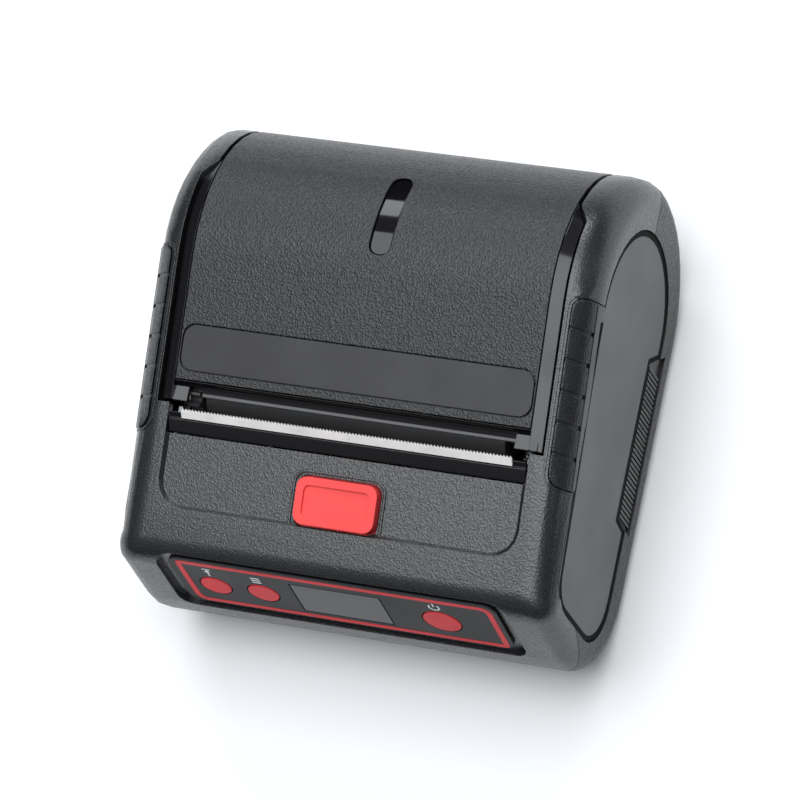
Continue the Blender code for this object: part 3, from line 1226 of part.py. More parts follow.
def make_latch():
    """Lever with a hook at each end: the button pushes its paddle and the hooks swing forwards."""
    pivot = (LATCH_PIVOT_Y, LATCH_PIVOT_Z)
    inner = BUSH_RADIUS + GAP
    outer = inner + HOOK_WIDTH
    hook = []
    for step in range(HOOK_STEPS + 1):
        turn = math.pi - LATCH_REACH * step / HOOK_STEPS
        hook.append(beside(PLATEN, inner, turn))
    for step in range(HOOK_STEPS, -1, -1):
        turn = math.pi - LATCH_REACH * step / HOOK_STEPS
        hook.append(beside(PLATEN, outer, turn))
    hook.append((pivot[0] - LATCH_BOSS, pivot[1]))
    hook.append((pivot[0] + LATCH_BOSS / 2, pivot[1]))
    bridge_v = BRIDGE_BACK_V - BRIDGE_WIDTH
    top = -BUTTON_LENGTH - GAP
    lever = prism(rectangle(-BRIDGE_HALF, BRIDGE_HALF, BRIDGE_BACK_V - BRIDGE_BAR, BRIDGE_BACK_V),
                  top - BRIDGE_THICKNESS, top, "Z", DECK)
    fuse(lever, prism(rectangle(-PADDLE_HALF, PADDLE_HALF, bridge_v, BRIDGE_BACK_V),
                      top - BRIDGE_THICKNESS, top, "Z", DECK))
    start = DECK @ Vector((0.0, BRIDGE_BACK_V - BRIDGE_BAR / 2, top - BRIDGE_THICKNESS / 2))
    end = hook[-3]
    arm = [(start.y, start.z + ARM_STRIP), (start.y, start.z - ARM_STRIP),
           (end[0] + HOOK_WIDTH / 2, end[1] - ARM_STRIP - ARM_STRIP), (end[0] + HOOK_WIDTH / 2, end[1])]
    for side in (-1, 1):
        low, high = span(side, LATCH_INNER_X, LATCH_INNER_X + LATCH_SHEET)
        plate = prism(hook, low, high)
        fuse(plate, rod(pivot, LATCH_BOSS, low + LATCH_STEP, high - LATCH_STEP))
        fuse(plate, prism(arm, low + LATCH_STEP, high - LATCH_STEP))
        cut(plate, rod(pivot, LATCH_PIN_RADIUS + GAP, -FAR, FAR, SMALL_SEGMENTS))
        fuse(lever, plate)
    finish(set_origin(lever, (0.0,) + pivot), "latch_lever", ZINC, 0.4, 1.0, smooth=False)

    shelf_top = SHELF_Z + FRAME_SHEET + GAP
    under = DECK @ Vector((0.0, 0.0, top - BRIDGE_THICKNESS))
    length = under.z - (BUTTON_Y - LATCH_SPRING_Y) * math.tan(TOP_SLOPE) - LATCH_SPRING_SINK - shelf_top
    coil = helix((0.0, LATCH_SPRING_Y, shelf_top), "Z", LATCH_SPRING_RADIUS, length, LATCH_SPRING_TURNS)
    finish(coil, "latch_spring", STEEL, 0.3, 1.0)


def make_open_button():
    top = BUTTON_PROUD
    half_x, half_v = BUTTON_WIDTH / 2, BUTTON_DEPTH / 2
    flange_top = -WALL - GAP - GAP
    button = prism(button_outline(), flange_top - BUTTON_FLANGE, top, "Z", DECK)
    rim = BUTTON_RIM
    hollow = rounded(-half_x + rim, half_x - rim, -half_v + rim, half_v - rim, BUTTON_CORNER / 2)
    cut(button, prism(hollow, top - BUTTON_HOLLOW, OVERRUN, "Z", DECK))
    fuse(button, prism(button_outline(BUTTON_FLANGE), flange_top - BUTTON_FLANGE, flange_top, "Z", DECK))
    fuse(button, prism(rectangle(-PADDLE_HALF, PADDLE_HALF, -BUTTON_RIB_HALF, BUTTON_RIB_HALF),
                       -BUTTON_LENGTH, flange_top - BUTTON_FLANGE / 2, "Z", DECK))
    finish(set_origin(button, DECK.translation), "open_button", BUTTON_RED, 0.45)


def make_panel():
    overlay = prism(overlay_outline(), -OVERLAY_THICKNESS, 0.0, "Z", PANEL)
    cut(overlay, prism(display_outline(GAP), -OVERRUN, OVERRUN, "Z", PANEL))
    for name, x, radius in KEYS:
        cut(overlay, prism(circle(x, KEY_V, radius + KEY_GAP), -OVERRUN, OVERRUN, "Z", PANEL))
    finish(overlay, "panel_overlay", BLACK_SATIN, 0.35)

    window = prism(display_outline(), -OVERLAY_THICKNESS, 0.0, "Z", PANEL)
    finish(window, "display_window", GLASS_GREY, 0.1)

    board_top = -KEY_BOARD_DEPTH
    half_x, half_v = KEY_BOARD_WIDTH / 2, KEY_BOARD_HEIGHT / 2
    board = prism(rectangle(-half_x, half_x, -half_v, half_v), board_top - KEY_BOARD_THICKNESS,
                  board_top, "Z", PANEL)
    finish(board, "key_board", BOARD_GREEN, 0.5, smooth=False)
    module = prism(display_outline(DISPLAY_MARGIN), board_top + GAP, board_top + GAP + DISPLAY_DEPTH,
                   "Z", PANEL)
    finish(module, "display_module", GLASS_GREY, 0.2, smooth=False)

    switch_top = board_top + GAP + SWITCH_HEIGHT
    for name, x, radius in KEYS:
        half = SWITCH_SIZE / 2
        switch = prism(rectangle(x - half, x + half, KEY_V - half, KEY_V + half), board_top + GAP,
                       switch_top, "Z", PANEL)
        finish(switch, name.replace("_key", "_switch"), ZINC, 0.4, 1.0, smooth=False)
        key = prism(circle(x, KEY_V, radius), -OVERLAY_THICKNESS, KEY_PROUD, "Z", PANEL)
        stem = prism(circle(x, KEY_V, KEY_STEM_RADIUS, SMALL_SEGMENTS), switch_top + KEY_TRAVEL + GAP,
                     -OVERLAY_THICKNESS / 2, "Z", PANEL)
        fuse(key, stem)
        finish(set_origin(key, PANEL @ Vector((x, KEY_V, 0.0))), name, KEY_RED, 0.35)


def make_tub():
    centre = (TUB_Y, TUB_Z)
    outer = TUB_OUTER
    tub = rod(centre, outer, -TUB_HALF, TUB_HALF, 2 * ROUND_SEGMENTS)
    fuse(tub, box((-TUB_HALF, TUB_Y - outer, TUB_Z), (TUB_HALF, TUB_Y, TUB_LIP_Z)))
    cut(tub, box((-FAR, TUB_Y - TUB_RADIUS, TUB_Z), (FAR, FAR, FAR)))
    cut(tub, rod(centre, TUB_RADIUS, -TUB_HALF + TUB_WALL, TUB_HALF - TUB_WALL, 2 * ROUND_SEGMENTS))
    for side in (-1, 1):
        low, high = span(side, GUIDE_INNER_X - GUIDE_TRAVEL - GAP, GUIDE_INNER_X + GUIDE_THICKNESS + GAP)
        near, far = rack_edges(side, GAP)
        cut(tub, box((low, near, 0.0), (high, far, TUB_Z)))
    finish(tub, "paper_tub", BLACK_SATIN, 0.5)


def rack_edges(side, grow=0.0):
    """Low and high Y of a rack's bar. The left rack runs in front of the pinion, the right one behind."""
    low, high = span(side, RACK_INNER - grow, RACK_INNER + RACK_WIDTH + grow)
    return GUIDE_AXIS_Y + low, GUIDE_AXIS_Y + high


def make_guides():
    """Two paper guides with racks that meet a pinion, so that they close in together."""
    pitch = math.pi * GEAR_MODULE
    tip = ADDENDUM_SHARE * GEAR_MODULE
    root = DEDENDUM_SHARE * GEAR_MODULE
    centre = (TUB_Y, TUB_Z)
    for side, word in ((-1, "left"), (1, "right")):
        low, high = span(side, GUIDE_INNER_X, GUIDE_INNER_X + GUIDE_THICKNESS)
        guide = rod(centre, GUIDE_RADIUS, low, high, 2 * ROUND_SEGMENTS)
        cut(guide, box((-FAR, -FAR, GUIDE_TOP_Z), (FAR, FAR, FAR)))
        near, far = rack_edges(side)
        fuse(guide, box((low, near, RACK_Z), (high, far, TUB_Z)))
        end = -side * pitch * (1 + 1 / 2)
        fuse(guide, box((min(end, side * GUIDE_INNER_X), near, RACK_Z),
                        (max(end, side * GUIDE_INNER_X), far, RACK_Z + RACK_THICKNESS)))
        line = GUIDE_AXIS_Y + side * RACK_INNER
        teeth = []
        for index in range(RACK_TEETH):
            x = side * pitch * (index - 1 / 2)
            deep = line + side * RACK_WIDTH / 2
            crest = line - side * (root + tip)
            wide, narrow = TOOTH_ROOT_SHARE * pitch / 2, TOOTH_TIP_SHARE * pitch / 2
            tooth = [(x - wide, deep), (x + wide, deep), (x + wide, line), (x + narrow, crest),
                     (x - narrow, crest), (x - wide, line)]
            teeth.append(prism(tooth, RACK_Z, RACK_Z + RACK_THICKNESS, "Z"))
        fuse(guide, joined(teeth))
        finish(set_origin(guide, (side * GUIDE_INNER_X, TUB_Y, TUB_Z)), "paper_guide_" + word,
               GREY_SATIN, 0.45)
    wheel = gear(GUIDE_TEETH, (0.0, GUIDE_AXIS_Y), RACK_Z, RACK_Z + RACK_THICKNESS, math.pi / 2,
                 PINION_POST_RADIUS + GAP, "Z")
    finish(set_origin(wheel, (0.0, GUIDE_AXIS_Y, RACK_Z)), "guide_pinion", WHITE_PLASTIC, 0.5, smooth=False)


def make_power_and_boards():
    battery = keep(prism(battery_outline(), -OVERRUN, BATTERY_TOP_Z, "Z"), case_solid(BATTERY_SINK))
    tongue = BATTERY_TONGUE_HALF + GAP
    key_low = WALL + GAP
    key_high = key_low + BATTERY_LATCH_FLANGE
    cut(battery, box((-tongue, BATTERY_BACK_Y - BATTERY_TONGUE_REACH - GAP, key_low - GAP),
                     (tongue, BATTERY_BACK_Y + OVERRUN, key_high + GAP)))
    finish(battery, "battery_pack", BATTERY_GREY, 0.5)

    front = LATCH_SLOT_FRONT_Y + GAP
    key = prism(battery_latch_slot(0.0, front, LATCH_KEY_BACK_Y), BATTERY_SINK,
                key_low + BATTERY_LATCH_FLANGE / 2, "Z")
    grow = BATTERY_LATCH_FLANGE
    flange_back = LATCH_KEY_BACK_Y + grow + BATTERY_LATCH_TRAVEL
    fuse(key, prism(battery_latch_slot(grow, BATTERY_BACK_Y + GAP, flange_back), key_low, key_high, "Z"))
    fuse(key, box((-BATTERY_TONGUE_HALF, BATTERY_BACK_Y - BATTERY_TONGUE_REACH, key_low),
                  (BATTERY_TONGUE_HALF, front, key_high)))
    finish(set_origin(key, (0.0, front, 0.0)), "battery_latch", BLACK_SATIN, 0.45)

    board = box((-MAIN_BOARD_HALF, MAIN_BOARD_FRONT_Y, MAIN_BOARD_Z),
                (MAIN_BOARD_HALF, MAIN_BOARD_BACK_Y, MAIN_BOARD_Z + MAIN_BOARD_THICKNESS))
    finish(board, "main_board", BOARD_GREEN, 0.5, smooth=False)


def flap_outline(grow=0.0):
    """Side outline of the rubber flap over the sockets."""
    half = FLAP_WIDTH / 2 + grow
    tall = FLAP_HEIGHT / 2 + grow
    return rounded(SOCKET_Y - half, SOCKET_Y + half, SOCKET_Z - tall, SOCKET_Z + tall, FLAP_CORNER)


def socket_outlines(grow=0.0):
    """Side outlines of the charging socket and of the power socket."""
    half, tall = USB_WIDTH / 2 + grow, USB_HEIGHT / 2 + grow
    y = SOCKET_Y + JACK_SPACING / 2
    usb = rounded(y - half, y + half, SOCKET_Z - tall, SOCKET_Z + tall, USB_HEIGHT / 3)
    return usb, circle(SOCKET_Y - JACK_SPACING / 2, SOCKET_Z, JACK_RADIUS + grow)


def socket_cutters():
    """Holes through the left wall for the two sockets."""
    return [prism(outline, -FAR, -HALF / 2) for outline in socket_outlines(GAP)]


def make_sockets():
    face = -HALF + PLATE_DEPTH + PLATE_SINK + GAP
    usb_outline, jack_outline = socket_outlines()
    usb = prism(usb_outline, face, face + USB_DEPTH)
    cut(usb, prism(rounded_inner_usb(), -FAR, face + USB_DEPTH / 2))
    finish(usb, "charge_socket", STEEL, 0.3, 1.0)
    jack = prism(jack_outline, face, face + JACK_DEPTH)
    cut(jack, rod((SOCKET_Y - JACK_SPACING / 2, SOCKET_Z), JACK_RADIUS / 2, -FAR, face + JACK_DEPTH / 2))
    finish(jack, "power_socket", BLACK_SATIN, 0.4)
    flap = prism(flap_outline(), -HALF + PLATE_SINK, -HALF + PLATE_SINK + PLATE_DEPTH)
    hinge = (-HALF + PLATE_SINK, SOCKET_Y, SOCKET_Z - FLAP_HEIGHT / 2)
    finish(set_origin(flap, hinge), "socket_flap", RUBBER_BLACK, 0.6)


def rounded_inner_usb():
    """Mouth of the charging socket."""
    wall = USB_HEIGHT / 6
    half, tall = USB_WIDTH / 2 - wall, USB_HEIGHT / 2 - wall
    y = SOCKET_Y + JACK_SPACING / 2
    return rounded(y - half, y + half, SOCKET_Z - tall, SOCKET_Z + tall, USB_HEIGHT / 4)


def make_screws():
    for number, (x, y) in enumerate(screw_spots(), 1):
        head_top = SCREW_SINK + SCREW_HEAD_HEIGHT
        screw = rod((x, y), SCREW_HEAD_RADIUS, SCREW_SINK, head_top, SMALL_SEGMENTS, "Z")
        fuse(screw, rod((x, y), SCREW_RADIUS, head_top - SCREW_HEAD_HEIGHT / 2, SCREW_SINK + SCREW_LENGTH,
                        SMALL_SEGMENTS, "Z"))
        finish(screw, "case_screw_" + str(number), STEEL, 0.3, 1.0)


def main():
    clear_scene()
    make_bottom_shell()
    make_upper_housing()
    make_side_pieces()
    make_cover_skin()
    make_cover_frame()
    make_hinge()
    make_platen()
    make_gear_train()
    make_mechanism_frame()
    make_print_head()
    make_tear_bar()
    make_latch()
    make_open_button()
    make_panel()
    make_tub()
    make_guides()
    make_power_and_boards()
    make_sockets()
    make_screws()


main()
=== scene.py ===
# %% [markdown]
# # Portable thermal printer for 80 mm paper
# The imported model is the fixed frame: it gives the place and the motion of every piece.
# This script dresses it with finer visible pieces, surfaces, light and a camera.
# Everything is in metres, +Z up, +Y to the back, +X to the right of someone who faces the keys.

# %% load the frame
import json
import math

import bmesh
import bpy
from mathutils import Matrix, Vector
from mathutils.bvhtree import BVHTree

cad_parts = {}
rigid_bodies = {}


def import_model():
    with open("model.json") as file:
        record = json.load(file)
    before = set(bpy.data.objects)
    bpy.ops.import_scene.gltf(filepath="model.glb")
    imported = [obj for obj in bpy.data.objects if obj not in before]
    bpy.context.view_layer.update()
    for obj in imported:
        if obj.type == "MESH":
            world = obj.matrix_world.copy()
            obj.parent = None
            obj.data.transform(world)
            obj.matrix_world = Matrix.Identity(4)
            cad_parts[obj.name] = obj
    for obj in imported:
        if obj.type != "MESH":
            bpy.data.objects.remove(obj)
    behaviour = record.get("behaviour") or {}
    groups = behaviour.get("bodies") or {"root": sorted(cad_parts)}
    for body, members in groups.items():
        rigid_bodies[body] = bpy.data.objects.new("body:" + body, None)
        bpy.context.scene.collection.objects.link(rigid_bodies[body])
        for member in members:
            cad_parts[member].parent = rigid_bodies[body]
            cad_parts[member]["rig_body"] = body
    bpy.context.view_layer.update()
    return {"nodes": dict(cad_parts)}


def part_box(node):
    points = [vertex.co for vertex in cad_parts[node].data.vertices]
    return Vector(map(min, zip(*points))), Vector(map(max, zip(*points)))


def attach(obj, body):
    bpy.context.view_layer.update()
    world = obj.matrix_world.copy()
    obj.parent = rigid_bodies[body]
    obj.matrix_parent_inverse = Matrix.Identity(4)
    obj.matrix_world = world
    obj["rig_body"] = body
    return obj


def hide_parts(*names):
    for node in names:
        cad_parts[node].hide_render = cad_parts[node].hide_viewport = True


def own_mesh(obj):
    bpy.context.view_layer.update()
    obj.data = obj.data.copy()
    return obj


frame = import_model()
MM = 0.001

# %% [markdown]
# The case's side view is a pod: a half-round back, a top that falls to the front, a small nose,
# a leaning face for the keys and a round chin. The same few numbers place every detail on it.

# %% side view of the case
CASE_WIDTH, CASE_LENGTH, CASE_HEIGHT = 0.109, 0.1131, 0.0622
TOP_SLOPE, FACE_TILT = math.radians(10.3), math.radians(74.2)
CHIN_RADIUS, NOSE_RADIUS = 0.021, 0.0075
BACK_RADIUS = CASE_HEIGHT / 2
BACK_CENTRE = Vector((0, CASE_LENGTH / 2 - BACK_RADIUS, BACK_RADIUS))
FACE_NORMAL = Vector((0, -math.sin(FACE_TILT), math.cos(FACE_TILT)))
BUTTON_Y, PANEL_MID_Z, PANEL_RECESS = -0.0319, 0.0373, 0.0007


def top_height(y, inset=0.0):
    """Height of the case's top at y, lowered by inset."""
    radius = BACK_RADIUS - inset
    turn = BACK_CENTRE.y - radius * math.sin(TOP_SLOPE)
    if y > turn:
        return BACK_CENTRE.z + math.sqrt(max(0.0, radius ** 2 - (y - BACK_CENTRE.y) ** 2))
    return BACK_CENTRE.z + radius * math.cos(TOP_SLOPE) - (turn - y) * math.tan(TOP_SLOPE)


def face_y(z, inset=0.0):
    """Y of the leaning face at height z."""
    chin = Vector((0, -CASE_LENGTH / 2 + CHIN_RADIUS, CHIN_RADIUS))
    touch = chin + FACE_NORMAL * (CHIN_RADIUS - inset)
    return touch.y + (z - touch.z) / math.tan(FACE_TILT)


def tilted(x, y, z, tilt):
    """Frame on a slope: local X across, local Y up the slope, local Z out of it."""
    return Matrix.Translation((x, y, z)) @ Matrix.Rotation(tilt, 4, "X")


DECK = tilted(0, BUTTON_Y, top_height(BUTTON_Y), TOP_SLOPE)
PANEL = tilted(0, face_y(PANEL_MID_Z, PANEL_RECESS), PANEL_MID_Z, FACE_TILT)
print("deck", DECK.translation, "panel", PANEL.translation)

# %% [markdown]
# The camera looks down on the printer from the front right and is rolled, so that the case stands
# on its corner in the picture. Its distance and lens come from the convergence of the case's edges.

# %% camera
AZIMUTH, ELEVATION, ROLL = math.radians(67.424), math.radians(65.368), math.radians(-57.163)
CAMERA_DISTANCE, LENS, SENSOR = 1.138227, 226.2, 36.0
TEAR_POINT = Vector((0.0, -0.0158, 0.0565))
AIM_RIGHT, AIM_UP = 0.01271, 0.00734
back = Vector((math.sin(AZIMUTH) * math.cos(ELEVATION), -math.cos(AZIMUTH) * math.cos(ELEVATION),
               math.sin(ELEVATION)))
level = Vector((math.cos(AZIMUTH), math.sin(AZIMUTH), 0))
rise = back.cross(level)
right = math.cos(ROLL) * level + math.sin(ROLL) * rise
up = -math.sin(ROLL) * level + math.cos(ROLL) * rise
eye = TEAR_POINT + back * CAMERA_DISTANCE
look = (eye - TEAR_POINT - right * AIM_RIGHT - up * AIM_UP).normalized()
right = (right - look * right.dot(look)).normalized()
up = look.cross(right)
camera = bpy.data.objects.new("camera", bpy.data.cameras.new("camera"))
camera.data.lens, camera.data.sensor_width = LENS, SENSOR
camera.data.clip_end = 10
camera.matrix_world = Matrix.Translation(eye) @ Matrix((right, up, look)).transposed().to_4x4()
bpy.context.scene.collection.objects.link(camera)
bpy.context.scene.camera = camera
print("camera", eye)

# %% [markdown]
# A pale floor that runs far past the picture, and soft studio light: one large panel overhead that
# the flat tops mirror, a second one behind the printer for the curved back of the cover, and a weak
# narrow one at the right that draws the edges of the side plate.

# %% floor and light
FLOOR_HALF = 3.0
bm = bmesh.new()
bmesh.ops.create_grid(bm, x_segments=1, y_segments=1, size=FLOOR_HALF)
floor_mesh = bpy.data.meshes.new("floor")
bm.to_mesh(floor_mesh)
bm.free()
floor = bpy.data.objects.new("floor", floor_mesh)
bpy.context.scene.collection.objects.link(floor)


COOL = (0.94, 0.97, 1.0)


def area_light(name, place, aim, size, power):
    """Soft panel that shines from one point towards another."""
    lamp = bpy.data.lights.new(name, "AREA")
    lamp.shape, lamp.size, lamp.size_y = "RECTANGLE", size[0], size[1]
    lamp.energy, lamp.color = power, COOL
    item = bpy.data.objects.new(name, lamp)
    item.location = place
    item.rotation_euler = (Vector(aim) - Vector(place)).to_track_quat("-Z", "Y").to_euler()
    bpy.context.scene.collection.objects.link(item)
    return item


area_light("overhead_light", (0.025, 0.21, 1.50), (0.025, 0.211, 0), (1.59, 1.38), 26.6)
area_light("back_light", (-0.22, 1.00, 0.72), (-0.22, 0, 0.04), (1.2, 0.34), 7.2)
area_light("side_light", (1.15, 0.45, 0.50), (0.05, 0, 0.03), (0.10, 0.7), 0.4)

# %% [markdown]
# Black plastic shows little of its own colour and much of the room. The room here is a tent: bright
# overhead and dim at the height of the table, so tops shine softly and steep faces stay dark.

# %% surround
OVERHEAD, HORIZON = 0.36, 0.05
DIM_BELOW, BRIGHT_ABOVE = 0.15, 0.92
AIR = (0.95, 0.97, 1.0, 1)
world = bpy.data.worlds.new("surround")
world.use_nodes = True
tree = world.node_tree
direction = tree.nodes.new("ShaderNodeTexCoord")
parts = tree.nodes.new("ShaderNodeSeparateXYZ")
tree.links.new(direction.outputs["Generated"], parts.inputs[0])
ramp = tree.nodes.new("ShaderNodeMapRange")
ramp.interpolation_type = "SMOOTHSTEP"
for key, value in (("From Min", DIM_BELOW), ("From Max", BRIGHT_ABOVE),
                   ("To Min", HORIZON), ("To Max", OVERHEAD)):
    ramp.inputs[key].default_value = value
tree.links.new(parts.outputs["Z"], ramp.inputs["Value"])
tree.nodes["Background"].inputs["Color"].default_value = AIR
tree.links.new(ramp.outputs["Result"], tree.nodes["Background"].inputs["Strength"])
bpy.context.scene.world = world
bpy.context.scene.view_settings.view_transform = "Standard"
print("surround from", HORIZON, "to", OVERHEAD)

# %% [markdown]
# Surfaces are built from nodes on object coordinates. `Surface` keeps one node tree and adds to it:
# moulded grain (bump), softened edges, clouded roughness and a slight change of colour over the
# piece. Each finish of the printer is then one line: a colour, a roughness and the size of its grain.

# %% surfaces


class Surface:
    """Node-based material with helpers for grain, clouding and masks."""

    def __init__(self, name, colour, roughness, metallic=0.0):
        self.material = bpy.data.materials.new(name)
        self.material.use_nodes = True
        self.tree = self.material.node_tree
        self.shader = self.tree.nodes["Principled BSDF"]
        self.shader.inputs["Base Color"].default_value = (*colour, 1)
        self.shader.inputs["Roughness"].default_value = roughness
        self.shader.inputs["Metallic"].default_value = metallic
        self.colour, self.roughness = colour, roughness
        self.where = self.node("ShaderNodeTexCoord").outputs["Object"]
        self.height = None

    def node(self, kind, **settings):
        """Add a node to the tree."""
        made = self.tree.nodes.new(kind)
        for key, value in settings.items():
            setattr(made, key, value)
        return made

    def link(self, source, target):
        """Join an output to an input."""
        self.tree.links.new(source, target)

    def put(self, socket, value):
        """Give a socket a value or link it."""
        if isinstance(value, bpy.types.NodeSocket):
            self.link(value, socket)
        else:
            socket.default_value = value

    def noise(self, size, detail=2.0, rough=0.5, stretch=(1, 1, 1)):
        """Noise whose blobs are about size metres across."""
        scale = self.node("ShaderNodeMapping")
        scale.inputs["Scale"].default_value = [s / size for s in stretch]
        self.link(self.where, scale.inputs["Vector"])
        made = self.node("ShaderNodeTexNoise")
        made.inputs["Scale"].default_value = 1.0
        made.inputs["Detail"].default_value = detail
        made.inputs["Roughness"].default_value = rough
        self.link(scale.outputs["Vector"], made.inputs["Vector"])
        return made.outputs["Fac"]

    def cells(self, size):
        """Rounded cells about size metres across."""
        made = self.node("ShaderNodeTexVoronoi", feature="SMOOTH_F1")
        made.inputs["Scale"].default_value = 1.0 / size
        self.link(self.where, made.inputs["Vector"])
        return made.outputs["Distance"]

    def math(self, operation, a, b):
        """Work out one value from two."""
        made = self.node("ShaderNodeMath", operation=operation)
        self.put(made.inputs[0], a)
        self.put(made.inputs[1], b)
        return made.outputs[0]

    def span(self, value, low, high, to_low=0.0, to_high=1.0):
        """Map a value from one range to another, clamped."""
        made = self.node("ShaderNodeMapRange", clamp=True)
        for key, number in (("Value", value), ("From Min", low), ("From Max", high),
                            ("To Min", to_low), ("To Max", to_high)):
            self.put(made.inputs[key], number)
        return made.outputs["Result"]

    def mix(self, share, first, second):
        """Blend two colours."""
        made = self.node("ShaderNodeMix", data_type="RGBA")
        self.put(made.inputs["Factor"], share)
        for socket, value in ((made.inputs[6], first), (made.inputs[7], second)):
            self.put(socket, value if isinstance(value, bpy.types.NodeSocket) else (*value, 1))
        return made.outputs[2]

    def bump(self, height, depth, strength=1.0):
        """Add a relief of depth metres."""
        made = self.node("ShaderNodeBump")
        made.inputs["Strength"].default_value = strength
        made.inputs["Distance"].default_value = depth
        self.link(height, made.inputs["Height"])
        if self.height is not None:
            self.link(self.height, made.inputs["Normal"])
        self.height = made.outputs["Normal"]
        self.link(self.height, self.shader.inputs["Normal"])

    def soften(self, radius):
        """Round the piece's hard edges in the shading, as a moulding tool leaves them."""
        made = self.node("ShaderNodeBevel", samples=6)
        made.inputs["Radius"].default_value = radius
        if self.height is not None:
            self.link(self.height, made.inputs["Normal"])
        self.height = made.outputs["Normal"]
        self.link(self.height, self.shader.inputs["Normal"])

    def set_shine(self, level):
        """How strongly the surface mirrors: 0.5 is plain plastic, ink and matt film have less."""
        self.shader.inputs["Specular IOR Level"].default_value = level

    def cloud_roughness(self, size, spread):
        """Let the roughness wander by spread."""
        low, high = self.roughness - spread, self.roughness + spread
        self.link(self.span(self.noise(size, 3.0), 0.3, 0.7, low, high), self.shader.inputs["Roughness"])

    def cloud_colour(self, size, other):
        """Let the colour wander towards another."""
        share = self.span(self.noise(size, 3.0), 0.35, 0.7)
        self.link(self.mix(share, self.colour, other), self.shader.inputs["Base Color"])


# Painted shade and highlight of the grain: how much darker the pebble valleys and how much lighter their
# tops are coloured.
VALLEY_PAINTED_SHADE, TOP_PAINTED_HIGHLIGHT = 0.45, 1.9
VALLEY_DULL, TOP_DULL = 0.14, -0.06


def shade(colour, factor):
    """The same colour, darker or lighter."""
    return tuple(c * factor for c in colour)


def grain_with_painted_shade(name, colour, roughness, grain, depth, edge=0.25 * MM, shine=0.52):
    """Moulded plastic with a leather grain: small round pebbles with smooth, shiny tops, coloured with
    painted shade in the valleys between them and a painted highlight on their tops.
    """
    made = Surface(name, colour, roughness)
    made.soften(edge)
    pebbles = made.span(made.cells(grain), 0.10, 0.62, 1.0, 0.0)
    patches = made.span(made.noise(grain * 2.2, 2.0, 0.5), 0.38, 0.62, 0.6, 1.0)
    made.bump(made.math("MULTIPLY", pebbles, patches), depth)
    made.link(made.span(pebbles, 0.0, 1.0, roughness + VALLEY_DULL, roughness + TOP_DULL),
              made.shader.inputs["Roughness"])
    # Painted shade and highlight: the valleys between the pebbles are coloured darker and their tops
    # lighter.
    made.link(made.mix(pebbles, shade(colour, VALLEY_PAINTED_SHADE), shade(colour, TOP_PAINTED_HIGHLIGHT)),
              made.shader.inputs["Base Color"])
    made.set_shine(shine)
    return made


def satin(name, colour, roughness, metallic=0.0, grain=0.35 * MM, depth=0.006 * MM, edge=0.2 * MM):
    """Fine-textured plastic or rubber."""
    made = Surface(name, colour, roughness, metallic)
    made.soften(edge)
    made.bump(made.noise(grain, 2.0), depth)
    made.cloud_roughness(16 * MM, 0.05)
    made.cloud_colour(25 * MM, shade(colour, 1.2))
    return made


def polished(name, colour, roughness, edge=0.2 * MM):
    """Glossy moulded plastic with a faint waviness and a few dull smears."""
    made = Surface(name, colour, roughness)
    made.soften(edge)
    made.bump(made.noise(9 * MM, 1.0), 0.03 * MM, 0.4)
    made.cloud_roughness(12 * MM, roughness * 0.5)
    return made


def metal(name, colour, roughness, brushed=(1, 30, 30), edge=0.1 * MM):
    """Steel with fine drawn lines along X."""
    made = Surface(name, colour, roughness, 1.0)
    made.soften(edge)
    made.bump(made.noise(6 * MM, 3.0, 0.6, brushed), 0.004 * MM)
    made.cloud_roughness(5 * MM, roughness * 0.35)
    made.cloud_colour(8 * MM, shade(colour, 0.85))
    return made


FLOOR = Surface("floor", (0.94, 0.94, 0.94), 0.7)
FLOOR.cloud_colour(0.2, (0.92, 0.925, 0.93))
floor.data.materials.append(FLOOR.material)

SHELL = grain_with_painted_shade("shell_grain_painted_shade", (0.0105, 0.0110, 0.0120), 0.24, 0.41 * MM, 0.041 * MM, shine=0.74)
COVER = grain_with_painted_shade("cover_grain_painted_shade", (0.0095, 0.0100, 0.0112), 0.35, 0.44 * MM, 0.092 * MM)
BASE = grain_with_painted_shade("base_grain_painted_shade", (0.0070, 0.0074, 0.0080), 0.34, 0.45 * MM, 0.050 * MM)
PLATE = satin("plate_grey", (0.068, 0.072, 0.077), 0.46, grain=0.30 * MM, depth=0.014 * MM)
GLOSS = polished("gloss_black", (0.006, 0.006, 0.007), 0.10)
LABEL = satin("label_satin", (0.016, 0.0155, 0.017), 0.34, grain=0.2 * MM, depth=0.003 * MM)
LABEL.set_shine(0.35)
SMOKED = polished("smoked_window", (0.002, 0.002, 0.0025), 0.07)
SMOKED.set_shine(0.4)
RUBBER = satin("rubber_black", (0.010, 0.010, 0.011), 0.34, grain=0.4 * MM, depth=0.016 * MM)
GRIP = grain_with_painted_shade("grip_grain_painted_shade", (0.0095, 0.0098, 0.0106), 0.24, 0.41 * MM, 0.044 * MM,
               edge=0.5 * MM, shine=0.70)
PLATEN = satin("platen_rubber", (0.016, 0.016, 0.017), 0.42, grain=0.15 * MM, depth=0.004 * MM)
BLACK = satin("satin_black", (0.012, 0.0125, 0.013), 0.40)
FILM = satin("panel_film", (0.014, 0.014, 0.016), 0.42, grain=0.22 * MM, depth=0.006 * MM)
FILM.set_shine(0.15)
RED = satin("button_red", (0.74, 0.058, 0.056), 0.42, grain=0.4 * MM, depth=0.006 * MM)
KEY = satin("key_red", (0.65, 0.019, 0.028), 0.50, grain=0.5 * MM, depth=0.003 * MM)
STEEL = metal("bright_steel", (0.70, 0.69, 0.67), 0.22)
ZINC = metal("zinc_sheet", (0.42, 0.43, 0.44), 0.38)
NATURAL = satin("natural_plastic", (0.62, 0.60, 0.55), 0.45)
CERAMIC = polished("glazed_ceramic", (0.46, 0.42, 0.34), 0.2)
